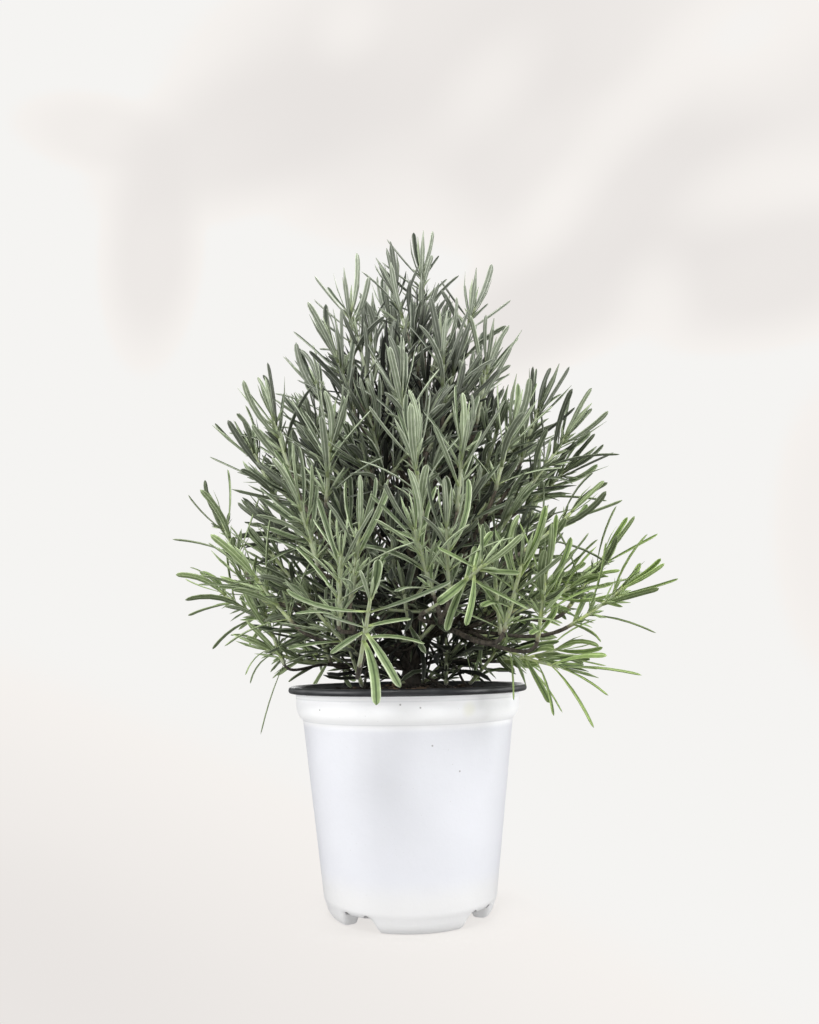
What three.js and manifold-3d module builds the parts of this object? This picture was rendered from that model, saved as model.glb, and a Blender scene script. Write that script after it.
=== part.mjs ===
// Potted lavender: a bushy young plant with no flowers yet, in a thin nursery pot filled with soil.
// Millimetres, +Z up. The origin is on the pot's axis, on the surface that its feet stand on,
// and -Y is the front. Every solid is closed: the pot, the soil, the plant's brown wood, and one
// solid for each green leafy shoot, which goes on from the end of its own brown twig.

import * as THREE from 'three';
import { mergeVertices } from 'three/addons/utils/BufferGeometryUtils.js';
import Module from 'manifold-3d';

const wasm = await Module();
wasm.setup();

// The pot: one formed plastic sheet with a rolled lip, a collar, a tapered wall and hollow feet.
const POT_HEIGHT = 150;
const POT_SIDES = 32;
const SHEET = 1.2;
const LIP_RADIUS = 82.5;
const LIP_DEPTH = 4.4;
const LIP_ROUNDING = 1.8;
const COLLAR_RADIUS = 77.4;
const COLLAR_FOOT = 128;
const WALL_TOP_RADIUS = 72.2;
const WALL_TOP = 125.5;
const WALL_FOOT_RADIUS = 58.4;
const FLOOR_RADIUS = 50;

// Its four feet: a ring with a flat tread, cut by four slanted notches, with a drain at each end.
const FOOT_HEIGHT = 8;
const FOOT_COUNT = 4;
const FOOT_TURN = 8;
const FOOT_OUTER = 56.6;
const FOOT_INNER = 41.5;
const TREAD_OUTER = 51;
const TREAD_INNER = 44.5;
const NOTCH_WIDTH = 21;
const NOTCH_SLANT = 3.5;
const NOTCH_START = 30;
const NOTCH_REACH = 35;
const DRAIN_RADIUS = 3;
const DRAIN_CIRCLE = 54.5;
const DRAIN_TURN = 8;
const DRAIN_SIDES = 6;

// The soil, its crumbly top a little higher round the trunk, and the gap that touching solids keep.
// Each ring of the top is a radius and its share of the mound's rise.
const SOIL_EDGE = 142.5;
const SOIL_MOUND = 5.5;
const SOIL_RINGS = [[62, 0.15], [44, 0.55], [24, 0.9], [0, 1]];
const LUMP_HEIGHT = 1.1;
const LUMP_SPACING = [20, 17];
const GAP = 0.3;

// The wood: a short trunk that stands in the soil and forks into limbs and twigs.
const TRUNK_X = 2;
const TRUNK_Y = 6;
const TRUNK_FOOT = 118;
const TRUNK_BEND = 146;
const TRUNK_FORK = 156;
const TWIG_RADIUS = 1.3;
const LOAD_POWER = 2.3;
const FORK_COST = 0.8;
const TURN_COST = 14;
const LAST_TURN_SHARE = 0.5;
const TWIG_HANDLE = 0.35;
const TWIG_STEP = 28;
const TWIG_STEPS = 9;
const TWIG_CLEARANCE = 4.2;
const POT_CLEARANCE = 4;
const TRUNK_SIDES = 6;
const LIMB_SIDES = 5;
const TWIG_SIDES = 4;
const TWIG_LOAD = 4;

// The green shoots: square stems that sag a little, with leaves in opposite pairs, each across the last.
const STEM_RADIUS = 1.35;
const STEM_TAPER = 0.25;
const STEM_SAG = 0.08;
const LEAF_WIDTH = 4.4;
const TOP_LEAF_WIDTH = 3.3;
const LEAF_THICKNESS = 1.2;
const KEEL_SHARE = 0.7;
const LEAF_STATIONS = [0, 0.3, 0.8, 1];
const ROOT_HEIGHT = 1.8;
const ROOT_DEPTH_SHARE = 0.7;

// A leaf bends down on the way to its tip, and more on the shoots that hang low.
const LEAF_SAG = 0.12;
const LOW_SAG = 0.55;
const LOW_HEIGHT = 235;
const LOW_SPAN = 80;

// The fans of leaves are closer on the upper shoots, by up to this share, over this stretch of height.
const FAN_CLOSING = 0.3;
const FAN_LOW = 250;
const FAN_HIGH = 370;

// How much leaves differ: degrees of turn and opening, and shares of length and width.
const TURN_SPREAD = 20;
const OPENING_SPREAD = 12;
const LENGTH_SPREAD = 0.24;
const WIDTH_SPREAD = 0.16;

// What a leaf keeps clear of, and the outline of the whole plant that it stays inside.
const STEM_MARGIN = 1;
const LEAF_CLEARANCE = 0.5;
const SIBLING_CLEARANCE = 3;
const SIDE_REACH = 180;
const DEPTH_REACH = 166;
const TOP_REACH = 490;

const SEED = 1117;
const SEED_STEP = 97;

// Turn about the stem, opening and share of its length that a leaf tries, in this order.
const LEAF_TRIES = [
  [0, 0, 1], [14, 0, 1], [-14, 0, 1], [0, -9, 1], [0, 9, 1], [26, 0, 1], [-26, 0, 1],
  [0, 0, 0.92], [14, -9, 0.95], [-14, -9, 0.95], [14, 9, 0.95], [-14, 9, 0.95],
  [0, 0, 0.84], [30, 9, 0.9], [-30, 9, 0.9], [30, -9, 0.9], [-30, -9, 0.9],
  [0, 16, 0.8], [0, -16, 0.8], [0, 0, 0.7], [40, 0, 0.75], [-40, 0, 0.75], [0, 0, 0.58],
];

// Distance below the growing tip, leaf length, and the leaf's angle off the stem at its root and tip.
const LEAF_PAIRS = [
  { below: 1.5, length: 34, rootAngle: 20, tipAngle: 3 },
  { below: 8, length: 42, rootAngle: 29, tipAngle: 15 },
  { below: 17, length: 46, rootAngle: 36, tipAngle: 36 },
  { below: 28, length: 47, rootAngle: 42, tipAngle: 56 },
  { below: 40, length: 43, rootAngle: 50, tipAngle: 74 },
];

// The shoots that show in front and along the outline: start of the green stem, then its growing tip.
const SEEN_SHOOTS = [
  [[16, 0, 405], [15, 0, 455]],
  [[-5, 35, 395], [-10, 40, 438]],
  [[-36, -18, 375], [-38, -15, 419]],
  [[42, -12, 374], [51, -6, 420]],
  [[3, -68, 303], [-3, -75, 345]],
  [[10, -88, 262], [6, -95, 298]],
  [[-50, -70, 275], [-47, -76, 312]],
  [[-80, -28, 300], [-92, -28, 338]],
  [[-94, -14, 288], [-109, -12, 318]],
  [[-118, 0, 238], [-132, -2, 268]],
  [[-60, -70, 242], [-68, -76, 270]],
  [[-32, -96, 215], [-27, -105, 246]],
  [[-40, -100, 200], [-38, -113, 230]],
  [[-26, -118, 173], [-20, -135, 203]],
  [[26, -88, 218], [25, -100, 248]],
  [[14, -92, 216], [5, -106, 246]],
  [[12, -82, 197], [46, -114, 223]],
  [[60, -54, 278], [72, -58, 320]],
  [[52, -28, 335], [60, -28, 373]],
  [[84, -12, 308], [98, -10, 346]],
  [[92, -25, 292], [115, -25, 322]],
  [[92, 5, 280], [118, 0, 302]],
  [[84, -45, 242], [112, -46, 264]],
  [[116, -22, 208], [136, -28, 236]],
  [[112, -50, 192], [140, -60, 212]],
  [[58, -50, 176], [99, -70, 161]],
  [[82, -78, 186], [86, -90, 220]],
  [[-68, -8, 168], [-98, -14, 176]],
  [[-76, -46, 194], [-102, -50, 227]],
  [[-108, 22, 200], [-141, 34, 221]],
  [[62, -84, 192], [70, -98, 224]],
  [[34, -80, 270], [37, -87, 303]],
  [[27, -42, 340], [28, -45, 379]],
  [[-16, 84, 196], [-20, 120, 220]],
  [[34, 94, 232], [42, 126, 256]],
];

// Seven of them whose leaves can be told apart: the three fans at the top, the two shoots in front of
// the dark middle, and the lowest one on each side. Each has its stem's turn, and for each pair its
// distance below the tip and its two leaves.
const APEX_SHOOT = 0;
const LEFT_FAN_SHOOT = 2;
const RIGHT_FAN_SHOOT = 3;
const FRONT_SHOOT = 13;
const STAR_SHOOT = 16;
const LOW_RIGHT_SHOOT = 25;
const LOW_LEFT_SHOOT = 27;
const SEEN_TURNS = new Map([
  [APEX_SHOOT, 45],
  [LEFT_FAN_SHOOT, 101],
  [RIGHT_FAN_SHOOT, 191],
  [FRONT_SHOOT, 55],
  [STAR_SHOOT, 65],
  [LOW_RIGHT_SHOOT, 45],
  [LOW_LEFT_SHOOT, 300],
]);
const SEEN_LEAVES = new Map([
  [APEX_SHOOT, [
    { below: 1.5, leaves: [seenLeaf(0, 28, 16, 31, 4.2), seenLeaf(0, 14, 3, 35, 4.4)] },
    { below: 7, leaves: [seenLeaf(0, 40, 30, 32, 3.8), seenLeaf(-45, 38, 31, 41, 4.2)] },
    { below: 15, leaves: [seenLeaf(0, 26, 20, 26, 4), seenLeaf(45, 52, 44, 37, 4.4)] },
    { below: 25, leaves: [seenLeaf(0, 44, 42, 38, 4.4), seenLeaf(-45, 46, 40, 42, 4.6)] },
    { below: 37, leaves: [seenLeaf(0, 48, 64, 42, 4.4), seenLeaf(0, 48, 64, 42, 4.4)] },
  ]],
  [LEFT_FAN_SHOOT, [
    { below: 1.5, leaves: [seenLeaf(0, 18, 7, 44, 4.4), seenLeaf(0, 38, 32, 37, 4.2)] },
    { below: 7, leaves: [seenLeaf(0, 34, 22, 41, 4.6), seenLeaf(-45, 38, 26, 43, 4.4)] },
    { below: 15, leaves: [seenLeaf(0, 36, 26, 39, 4.6), seenLeaf(45, 46, 38, 36, 4.2)] },
    { below: 25, leaves: [seenLeaf(0, 42, 46, 42, 4.6), seenLeaf(-45, 48, 42, 35, 4.2)] },
    { below: 37, leaves: [seenLeaf(0, 50, 66, 40, 4.4), seenLeaf(0, 50, 66, 40, 4.4)] },
  ]],
  [RIGHT_FAN_SHOOT, [
    { below: 1.5, leaves: [seenLeaf(0, 22, 10, 40, 4.8), seenLeaf(0, 27, 14, 30, 4)] },
    { below: 7, leaves: [seenLeaf(0, 36, 26, 27, 4.2), seenLeaf(-45, 44, 36, 38, 4.6)] },
    { below: 15, leaves: [seenLeaf(45, 42, 36, 40, 4.8), seenLeaf(0, 38, 34, 41, 4.4)] },
    { below: 26, leaves: [seenLeaf(0, 44, 52, 42, 4.4), seenLeaf(0, 44, 52, 42, 4.4)] },
    { below: 38, leaves: [seenLeaf(0, 50, 70, 40, 4.4), seenLeaf(0, 50, 70, 40, 4.4)] },
  ]],
  [FRONT_SHOOT, [
    { below: 1.5, leaves: [seenLeaf(0, 3, 0, 25, 5.4), seenLeaf(-45, 24, 18, 22, 5.2)] },
    { below: 8.5, leaves: [seenLeaf(35, 92, 38, 52, 5), seenLeaf(35, 66, 46, 49, 4.8)] },
    { below: 18, leaves: [seenLeaf(-35, 80, 80, 30, 5), seenLeaf(-35, 62, 50, 36, 5)] },
    { below: 21.5, leaves: [seenLeaf(50, 105, 110, 23, 5.4), seenLeaf(-30, 105, 115, 38, 6.6)] },
    { below: 26, leaves: [seenLeaf(-35, 95, 95, 46, 4.8), seenLeaf(35, 105, 118, 42, 5.8)] },
  ]],
  [STAR_SHOOT, [
    { below: 1.5, leaves: [seenLeaf(25, 50, 40, 24, 4.4), seenLeaf(0, 4, 0, 34, 4.6)] },
    { below: 5, leaves: [seenLeaf(0, 85, 80, 32, 4.8), seenLeaf(0, 62, 50, 24, 5)] },
    { below: 9, leaves: [seenLeaf(0, 70, 60, 34, 4.6), seenLeaf(0, 112, 125, 32, 4.8)] },
    { below: 13, leaves: [seenLeaf(20, 108, 100, 32, 5.4), seenLeaf(0, 72, 78, 40, 4.6)] },
    { below: 17, leaves: [seenLeaf(0, 80, 80, 34, 4.6), seenLeaf(-15, 112, 118, 34, 4.8)] },
  ]],
  [LOW_RIGHT_SHOOT, [
    { below: 1.5, leaves: [seenLeaf(45, 10, 34, 48, 5.8), seenLeaf(45, 8, 2, 32, 5.2)] },
    { below: 9, leaves: [seenLeaf(-20, 35, 50, 40, 5.4), seenLeaf(-50, 28, 40, 45, 6.4)] },
    { below: 19, leaves: [seenLeaf(-10, 45, 70, 38, 5.2), seenLeaf(20, 40, 60, 36, 5.2)] },
    { below: 28, leaves: [seenLeaf(0, 50, 72, 38, 4.8), seenLeaf(0, 45, 60, 34, 4.8)] },
    { below: 38, leaves: [seenLeaf(0, 55, 80, 36, 4.4), seenLeaf(0, 50, 65, 34, 4.4)] },
  ]],
  [LOW_LEFT_SHOOT, [
    { below: 1.5, leaves: [seenLeaf(0, 45, 85, 24, 3), seenLeaf(0, 20, 10, 28, 3.4)] },
    { below: 8, leaves: [seenLeaf(0, 35, 45, 30, 3.8), seenLeaf(50, 30, 95, 28, 3.2)] },
    { below: 16, leaves: [seenLeaf(-30, 80, 88, 54, 3), seenLeaf(0, 40, 50, 32, 4)] },
    { below: 27, leaves: [seenLeaf(0, 45, 60, 32, 4), seenLeaf(50, 20, 40, 24, 3.8)] },
    { below: 38, leaves: [seenLeaf(0, 40, 50, 30, 4.2), seenLeaf(0, 45, 60, 32, 4.2)] },
  ]],
]);

// Outline of the growing tips round the axis, as height and radius, for the shoots placed by rule.
const OUTLINE = [
  [172, 106], [190, 116], [210, 126], [245, 122], [280, 112],
  [318, 98], [355, 80], [395, 50], [430, 22],
];
const RULE_TRIES = 110;
const SHOOT_SPACING = 47.5;
const SHOOT_LENGTH = 45;
const GOLDEN_TURN = Math.PI * (3 - Math.sqrt(5));
const LEAN_TOP = 8;
const LEAN_BOTTOM = 80;

const UP = new THREE.Vector3(0, 0, 1);
const DRAW_FACTOR = 1664525;
const DRAW_STEP = 1013904223;
const DRAW_RANGE = 2 ** 32;

// A repeatable draw between 0 and 1.
function seededDraw(seed) {
  let state = seed;
  return () => {
    state = (state * DRAW_FACTOR + DRAW_STEP) % DRAW_RANGE;
    return state / DRAW_RANGE;
  };
}

// A leaf's turn off the stem's face, its angles off the stem at root and tip, its length and width.
function seenLeaf(turn, rootAngle, tipAngle, length, width) {
  return { turn, rootAngle, tipAngle, length, width };
}

function vector(list) {
  return new THREE.Vector3(list[0], list[1], list[2]);
}

function mix(a, b, share) {
  return a.clone().lerp(b, share);
}

function radians(degrees) {
  return degrees * Math.PI / 180;
}

// Solids

function solidFrom(geometry) {
  const bare = geometry.clone();
  bare.deleteAttribute('normal');
  bare.deleteAttribute('uv');
  const merged = mergeVertices(bare, 1e-4);
  const faces = [];
  for (let i = 0; i < merged.index.count; i += 3) {
    const [a, b, c] = [merged.index.getX(i), merged.index.getX(i + 1), merged.index.getX(i + 2)];
    if (a !== b && b !== c && c !== a) faces.push(a, b, c);
  }
  return new wasm.Manifold(new wasm.Mesh({
    numProp: 3,
    vertProperties: new Float32Array(merged.attributes.position.array),
    triVerts: new Uint32Array(faces),
  }));
}

function meshFrom(solid, name, colour, roughness) {
  const data = solid.getMesh();
  const geometry = new THREE.BufferGeometry();
  geometry.setAttribute('position', new THREE.BufferAttribute(new Float32Array(data.vertProperties), 3));
  geometry.setIndex(new THREE.BufferAttribute(new Uint32Array(data.triVerts), 1));
  geometry.computeVertexNormals();
  const material = new THREE.MeshStandardMaterial({ color: colour, roughness, metalness: 0 });
  const mesh = new THREE.Mesh(geometry, material);
  mesh.name = name;
  return mesh;
}

// A closed skin over rings of equally many points, with flat ends.
function skin(rings) {
  const places = rings.flat().flatMap((point) => point.toArray());
  const sides = rings[0].length;
  const starts = rings.map((_, i) => i * sides);
  const faces = [];
  for (let i = 0; i + 1 < rings.length; i += 1) {
    for (let j = 0; j < sides; j += 1) {
      const next = (j + 1) % sides;
      faces.push(starts[i] + j, starts[i] + next, starts[i + 1] + next);
      faces.push(starts[i] + j, starts[i + 1] + next, starts[i + 1] + j);
    }
  }
  const last = rings.length - 1;
  for (let j = 1; j + 1 < rings[0].length; j += 1) {
    faces.push(starts[0], starts[0] + j + 1, starts[0] + j);
    faces.push(starts[last], starts[last] + j, starts[last] + j + 1);
  }
  const geometry = new THREE.BufferGeometry();
  geometry.setAttribute('position', new THREE.Float32BufferAttribute(places, 3));
  geometry.setIndex(faces);
  return solidFrom(geometry);
}

// The trunk or a twig: a tapered tube through points, with its far end square to its last heading.
function tube(points, radii, sides, lastHeading) {
  let across = new THREE.Vector3(1, 0, 0);
  const rings = points.map((point, i) => {
    const before = points[Math.max(i - 1, 0)];
    const after = points[Math.min(i + 1, points.length - 1)];
    const heading = i === points.length - 1 ? lastHeading : after.clone().sub(before).normalize();
    across = across.clone().addScaledVector(heading, -across.dot(heading)).normalize();
    const third = heading.clone().cross(across);
    return Array.from({ length: sides }, (_, j) => {
      const turn = 2 * Math.PI * j / sides;
      return point.clone()
        .addScaledVector(across, radii[i] * Math.cos(turn))
        .addScaledVector(third, radii[i] * Math.sin(turn));
    });
  });
  return skin(rings);
}

// Shortest distance between two straight stretches.
function stretchDistance(a, b, c, d) {
  const u = b.clone().sub(a);
  const v = d.clone().sub(c);
  const w = a.clone().sub(c);
  const uu = u.dot(u);
  const vv = v.dot(v);
  const uv = u.dot(v);
  const uw = u.dot(w);
  const vw = v.dot(w);
  const spread = uu * vv - uv * uv;
  let s = spread > 1e-9 ? THREE.MathUtils.clamp((uv * vw - vv * uw) / spread, 0, 1) : 0;
  const t = THREE.MathUtils.clamp((uv * s + vw) / vv, 0, 1);
  s = THREE.MathUtils.clamp((uv * t - uw) / uu, 0, 1);
  return w.addScaledVector(u, s).addScaledVector(v, -t).length();
}

// Pot and soil

function latheGeometry(outline) {
  const turned = new THREE.LatheGeometry(outline.map(([r, z]) => new THREE.Vector2(r, z)), POT_SIDES);
  return turned.rotateX(Math.PI / 2);
}

// The wall's outline from the floor's edge up to under the lip, moved in by an offset.
function wallOutline(inset) {
  return [
    [FLOOR_RADIUS - inset * 0.4, FOOT_HEIGHT + inset],
    [WALL_FOOT_RADIUS - 2.6 - inset * 0.8, FOOT_HEIGHT + 1.4 + inset * 0.8],
    [WALL_FOOT_RADIUS - inset, FOOT_HEIGHT + 5],
    [WALL_TOP_RADIUS - inset, WALL_TOP],
    [WALL_TOP_RADIUS + 0.5 - inset, COLLAR_FOOT],
    [COLLAR_RADIUS - 1 - inset, COLLAR_FOOT + 8.5],
    [COLLAR_RADIUS - inset, POT_HEIGHT - LIP_DEPTH],
  ];
}

// The ring from which the feet are cut, moved in by an offset. It goes 3 mm into the floor.
function footOutline(inset) {
  return [
    [FOOT_OUTER - inset, FOOT_HEIGHT + 3],
    [FOOT_INNER + inset, FOOT_HEIGHT + 3],
    [FOOT_INNER + inset, FOOT_HEIGHT + 0.6 + inset],
    [TREAD_INNER + inset * 0.3, inset],
    [TREAD_OUTER - inset * 0.4, inset],
    [FOOT_OUTER - 2.6 - inset * 0.8, 1.6 + inset * 0.6],
    [FOOT_OUTER - 0.6 - inset, 5],
    [FOOT_OUTER - inset, FOOT_HEIGHT + 3],
  ];
}

// The hollow inside the feet is the same ring moved in, with wider notches that reach above it.
function feetSolid(inset) {
  const half = NOTCH_WIDTH / 2 + inset;
  const top = inset > 0 ? FOOT_HEIGHT + 4 : FOOT_HEIGHT;
  const shape = new THREE.Shape([
    new THREE.Vector2(-half, top),
    new THREE.Vector2(-half - NOTCH_SLANT, -1),
    new THREE.Vector2(half + NOTCH_SLANT, -1),
    new THREE.Vector2(half, top),
  ]);
  let feet = solidFrom(latheGeometry(footOutline(inset)));
  for (let i = 0; i < FOOT_COUNT; i += 1) {
    const notch = new THREE.ExtrudeGeometry(shape, { depth: NOTCH_REACH, bevelEnabled: false });
    notch.rotateX(Math.PI / 2);
    notch.translate(0, -NOTCH_START, 0);
    notch.rotateZ(radians(FOOT_TURN + (i + 0.5) * 360 / FOOT_COUNT));
    feet = feet.subtract(solidFrom(notch));
  }
  return feet;
}

function potSolid() {
  const lipFoot = POT_HEIGHT - LIP_DEPTH;
  const mouth = COLLAR_RADIUS + 0.6;
  const outside = solidFrom(latheGeometry([
    [0, FOOT_HEIGHT],
    ...wallOutline(0),
    [LIP_RADIUS - 0.6, lipFoot],
    [LIP_RADIUS, lipFoot + 1.6],
    [LIP_RADIUS - 0.4, POT_HEIGHT - 0.9],
    [LIP_RADIUS - LIP_ROUNDING, POT_HEIGHT],
    [0, POT_HEIGHT],
  ]));
  const inside = solidFrom(latheGeometry([
    [0, FOOT_HEIGHT + SHEET],
    ...wallOutline(SHEET),
    [mouth, POT_HEIGHT - 0.6],
    [mouth, POT_HEIGHT + 5],
    [0, POT_HEIGHT + 5],
  ]));
  let pot = outside.add(feetSolid(0)).subtract(inside).subtract(feetSolid(SHEET));
  for (let i = 0; i < FOOT_COUNT; i += 1) {
    for (const side of [-1, 1]) {
      const turn = radians(FOOT_TURN - 90 + (i + 0.5) * 360 / FOOT_COUNT + side * DRAIN_TURN);
      const drain = new THREE.CylinderGeometry(DRAIN_RADIUS, DRAIN_RADIUS, FOOT_HEIGHT, DRAIN_SIDES);
      drain.rotateX(Math.PI / 2);
      drain.translate(DRAIN_CIRCLE * Math.cos(turn), DRAIN_CIRCLE * Math.sin(turn), FOOT_HEIGHT + 1);
      pot = pot.subtract(solidFrom(drain));
    }
  }
  return pot;
}

function soilSolid(hole) {
  const edge = COLLAR_RADIUS - SHEET - GAP - 0.4;
  const turned = latheGeometry([
    [0, FOOT_HEIGHT + SHEET + GAP],
    ...wallOutline(SHEET + GAP).slice(0, -1),
    [edge, SOIL_EDGE],
    ...SOIL_RINGS.map(([radius, share]) => [radius, SOIL_EDGE + share * SOIL_MOUND]),
  ]);
  const places = turned.attributes.position;
  for (let i = 0; i < places.count; i += 1) {
    const across = 2 * Math.PI * places.getX(i) / LUMP_SPACING[0];
    const along = 2 * Math.PI * places.getY(i) / LUMP_SPACING[1];
    const lump = LUMP_HEIGHT * Math.sin(across + 1) * Math.cos(along - 2);
    if (places.getZ(i) > SOIL_EDGE) places.setZ(i, places.getZ(i) + lump);
  }
  return solidFrom(turned).subtract(hole);
}

// Growth

function stemCurve(start, tip) {
  const reach = tip.clone().sub(start);
  const lean = Math.hypot(reach.x, reach.y) / reach.length();
  const middle = mix(start, tip, 0.5).addScaledVector(UP, -STEM_SAG * reach.length() * lean);
  return new THREE.QuadraticBezierCurve3(start, middle, tip);
}

function shootFrom(seenStart, tip, number) {
  const reach = tip.clone().sub(seenStart);
  const length = Math.max(reach.length(), SHOOT_LENGTH);
  const start = tip.clone().addScaledVector(reach.normalize(), -length);
  const curve = stemCurve(start, tip);
  const low = THREE.MathUtils.clamp((LOW_HEIGHT - tip.z) / LOW_SPAN, 0, 1);
  const across = UP.clone().cross(reach).normalize();
  const draw = seededDraw(SEED + SEED_STEP * number);
  const drawnPhase = 2 * Math.PI * draw();
  const phase = SEEN_TURNS.has(number) ? radians(SEEN_TURNS.get(number)) : drawnPhase;
  return { number, start, tip, curve, low, across, draw, phase, length, nodes: [] };
}

function outlineRadius(z) {
  let i = 0;
  while (i + 2 < OUTLINE.length && z > OUTLINE[i + 1][0]) i += 1;
  const [z0, r0] = OUTLINE[i];
  const [z1, r1] = OUTLINE[i + 1];
  return r0 + (r1 - r0) * (z - z0) / (z1 - z0);
}

// The shoots that were seen come first, and the rule fills the sides and the back between them.
function placeShoots() {
  const shoots = SEEN_SHOOTS.map(([start, tip], i) => shootFrom(vector(start), vector(tip), i));
  const lowest = OUTLINE[0][0];
  const highest = OUTLINE[OUTLINE.length - 1][0];
  for (let i = 0; i < RULE_TRIES; i += 1) {
    const share = (i + 0.5) / RULE_TRIES;
    const z = lowest + (highest - lowest) * share;
    const turn = i * GOLDEN_TURN;
    const out = new THREE.Vector3(Math.cos(turn), Math.sin(turn), 0);
    const tip = out.clone().multiplyScalar(outlineRadius(z)).setZ(z);
    const lean = radians(LEAN_TOP + (LEAN_BOTTOM - LEAN_TOP) * (1 - share));
    const heading = out.multiplyScalar(Math.sin(lean)).setZ(Math.cos(lean));
    const start = tip.clone().addScaledVector(heading, -SHOOT_LENGTH);
    if (shoots.every((other) => other.tip.distanceTo(tip) > SHOOT_SPACING)) {
      shoots.push(shootFrom(start, tip, shoots.length));
    }
  }
  return shoots;
}

function insidePot(point) {
  return point.z < POT_HEIGHT + POT_CLEARANCE && Math.hypot(point.x, point.y) < LIP_RADIUS + POT_CLEARANCE;
}

// A curved way from a fork to the foot of a green shoot, which it meets in the shoot's own heading.
function twigTo(shoot, fork) {
  const direct = shoot.start.clone().sub(fork.at);
  const handle = direct.length() * TWIG_HANDLE;
  const firstHeading = direct.clone().normalize().add(fork.heading).normalize();
  const curve = new THREE.CubicBezierCurve3(
    fork.at,
    fork.at.clone().addScaledVector(firstHeading, handle),
    shoot.start.clone().addScaledVector(shoot.curve.getTangent(0), -handle),
    shoot.start,
  );
  const steps = THREE.MathUtils.clamp(Math.round(direct.length() / TWIG_STEP), 2, TWIG_STEPS);
  return { curve, steps, path: curve.getPoints(steps) };
}

function twigIsClear(path, shoot, shoots) {
  if (path.some((point) => insidePot(point))) return false;
  return path.slice(1).every((point, i) => shoots.every((other) => (
    other === shoot || stretchDistance(path[i], point, other.start, other.tip) > TWIG_CLEARANCE
  )));
}

// The forks in the order of what a twig to the shoot would cost: its length, the way on to the
// ground, and its turns.
function forksFor(shoot, points) {
  const choices = [];
  points.forEach((point, i) => {
    if (!point.forks) return;
    const direct = shoot.start.clone().sub(point.at);
    const lastTurn = direct.angleTo(shoot.curve.getTangent(0));
    const turn = direct.angleTo(point.heading) + LAST_TURN_SHARE * lastTurn;
    choices.push({ i, cost: direct.length() + FORK_COST * point.way + TURN_COST * turn * turn });
  });
  choices.sort((a, b) => a.cost - b.cost);
  return choices.map((choice) => choice.i);
}

// The wood grows as a tree of points, the highest shoot first. Each twig forks from the cheapest
// point that it can leave without touching the pot or another shoot.
function growWood(shoots) {
  const points = [TRUNK_FOOT, TRUNK_BEND, TRUNK_FORK].map((z, i) => ({
    at: new THREE.Vector3(TRUNK_X, TRUNK_Y, z),
    heading: UP,
    before: i - 1,
    way: z - TRUNK_FOOT,
    load: 0,
    forks: z === TRUNK_FORK,
  }));
  const twigs = [[0, 1, 2]];
  for (const shoot of [...shoots].sort((a, b) => b.start.z - a.start.z)) {
    const isClear = (i) => twigIsClear(twigTo(shoot, points[i]).path, shoot, shoots);
    const chosen = forksFor(shoot, points).find(isClear);
    if (chosen === undefined) throw new Error(`no clear way to shoot ${shoot.number}`);
    const { curve, steps, path } = twigTo(shoot, points[chosen]);
    const twig = [chosen];
    for (let j = 1; j <= steps; j += 1) {
      const before = twig[j - 1];
      points.push({
        at: path[j],
        heading: curve.getTangent(j / steps),
        before,
        way: points[before].way + path[j].distanceTo(points[before].at),
        load: 0,
        forks: j < steps,
      });
      twig.push(points.length - 1);
    }
    for (let i = points.length - 1; i >= 0; i = points[i].before) points[i].load += 1;
    twigs.push(twig);
  }
  for (const point of points) point.radius = TWIG_RADIUS * point.load ** (1 / LOAD_POWER);
  return { points, twigs };
}

// Everything that a leaf has to clear: the wood, the green stems, and the leaves that are placed.
function obstaclesFrom(shoots, wood) {
  const obstacles = [];
  wood.points.forEach((point) => {
    if (point.before < 0) return;
    obstacles.push({ a: wood.points[point.before].at, b: point.at, radius: point.radius, owner: -1 });
  });
  for (const shoot of shoots) {
    obstacles.push({ a: shoot.start, b: shoot.tip, radius: STEM_RADIUS + STEM_MARGIN, owner: shoot.number });
  }
  return obstacles;
}

function leafMidline(root, axis, out, length, rootAngle, tipAngle, sag) {
  const points = [root];
  for (let i = 0; i + 1 < LEAF_STATIONS.length; i += 1) {
    const share = (LEAF_STATIONS[i] + LEAF_STATIONS[i + 1]) / 2;
    const angle = radians(rootAngle + (tipAngle - rootAngle) * share);
    const heading = axis.clone().multiplyScalar(Math.cos(angle)).addScaledVector(out, Math.sin(angle));
    heading.addScaledVector(UP, -sag * share).normalize();
    const step = length * (LEAF_STATIONS[i + 1] - LEAF_STATIONS[i]);
    points.push(points[i].clone().addScaledVector(heading, step));
  }
  return points;
}

function midlineIsClear(points, owner, obstacles) {
  const tip = points[points.length - 1];
  if (Math.abs(tip.x) > SIDE_REACH || Math.abs(tip.y) > DEPTH_REACH || tip.z > TOP_REACH) return false;
  for (let i = 0; i + 1 < points.length; i += 1) {
    const [a, b] = [points[i], points[i + 1]];
    const middle = mix(a, b, 0.5);
    if (insidePot(middle) || insidePot(b)) return false;
    const reach = a.distanceTo(b) / 2 + LEAF_WIDTH;
    for (const other of obstacles) {
      const sibling = other.owner === owner;
      if (sibling && !(i > 0 && other.outer)) continue;
      const near = sibling ? SIBLING_CLEARANCE : other.radius + LEAF_WIDTH / 2 + LEAF_CLEARANCE;
      const far = reach + near + other.a.distanceTo(other.b);
      if (middle.distanceTo(other.a) > far) continue;
      if (stretchDistance(a, b, other.a, other.b) < near) return false;
    }
  }
  return true;
}

// The stem at a share of its length: its centre, its axis, and a function for headings square to it.
function stemFrame(shoot, share) {
  const centre = shoot.curve.getPoint(share);
  const axis = shoot.curve.getTangent(share);
  const across = shoot.across.clone().addScaledVector(axis, -shoot.across.dot(axis)).normalize();
  const third = axis.clone().cross(across);
  const outAt = (turn) => across.clone()
    .multiplyScalar(Math.cos(shoot.phase + turn))
    .addScaledVector(third, Math.sin(shoot.phase + turn));
  return { centre, axis, outAt };
}

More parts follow.
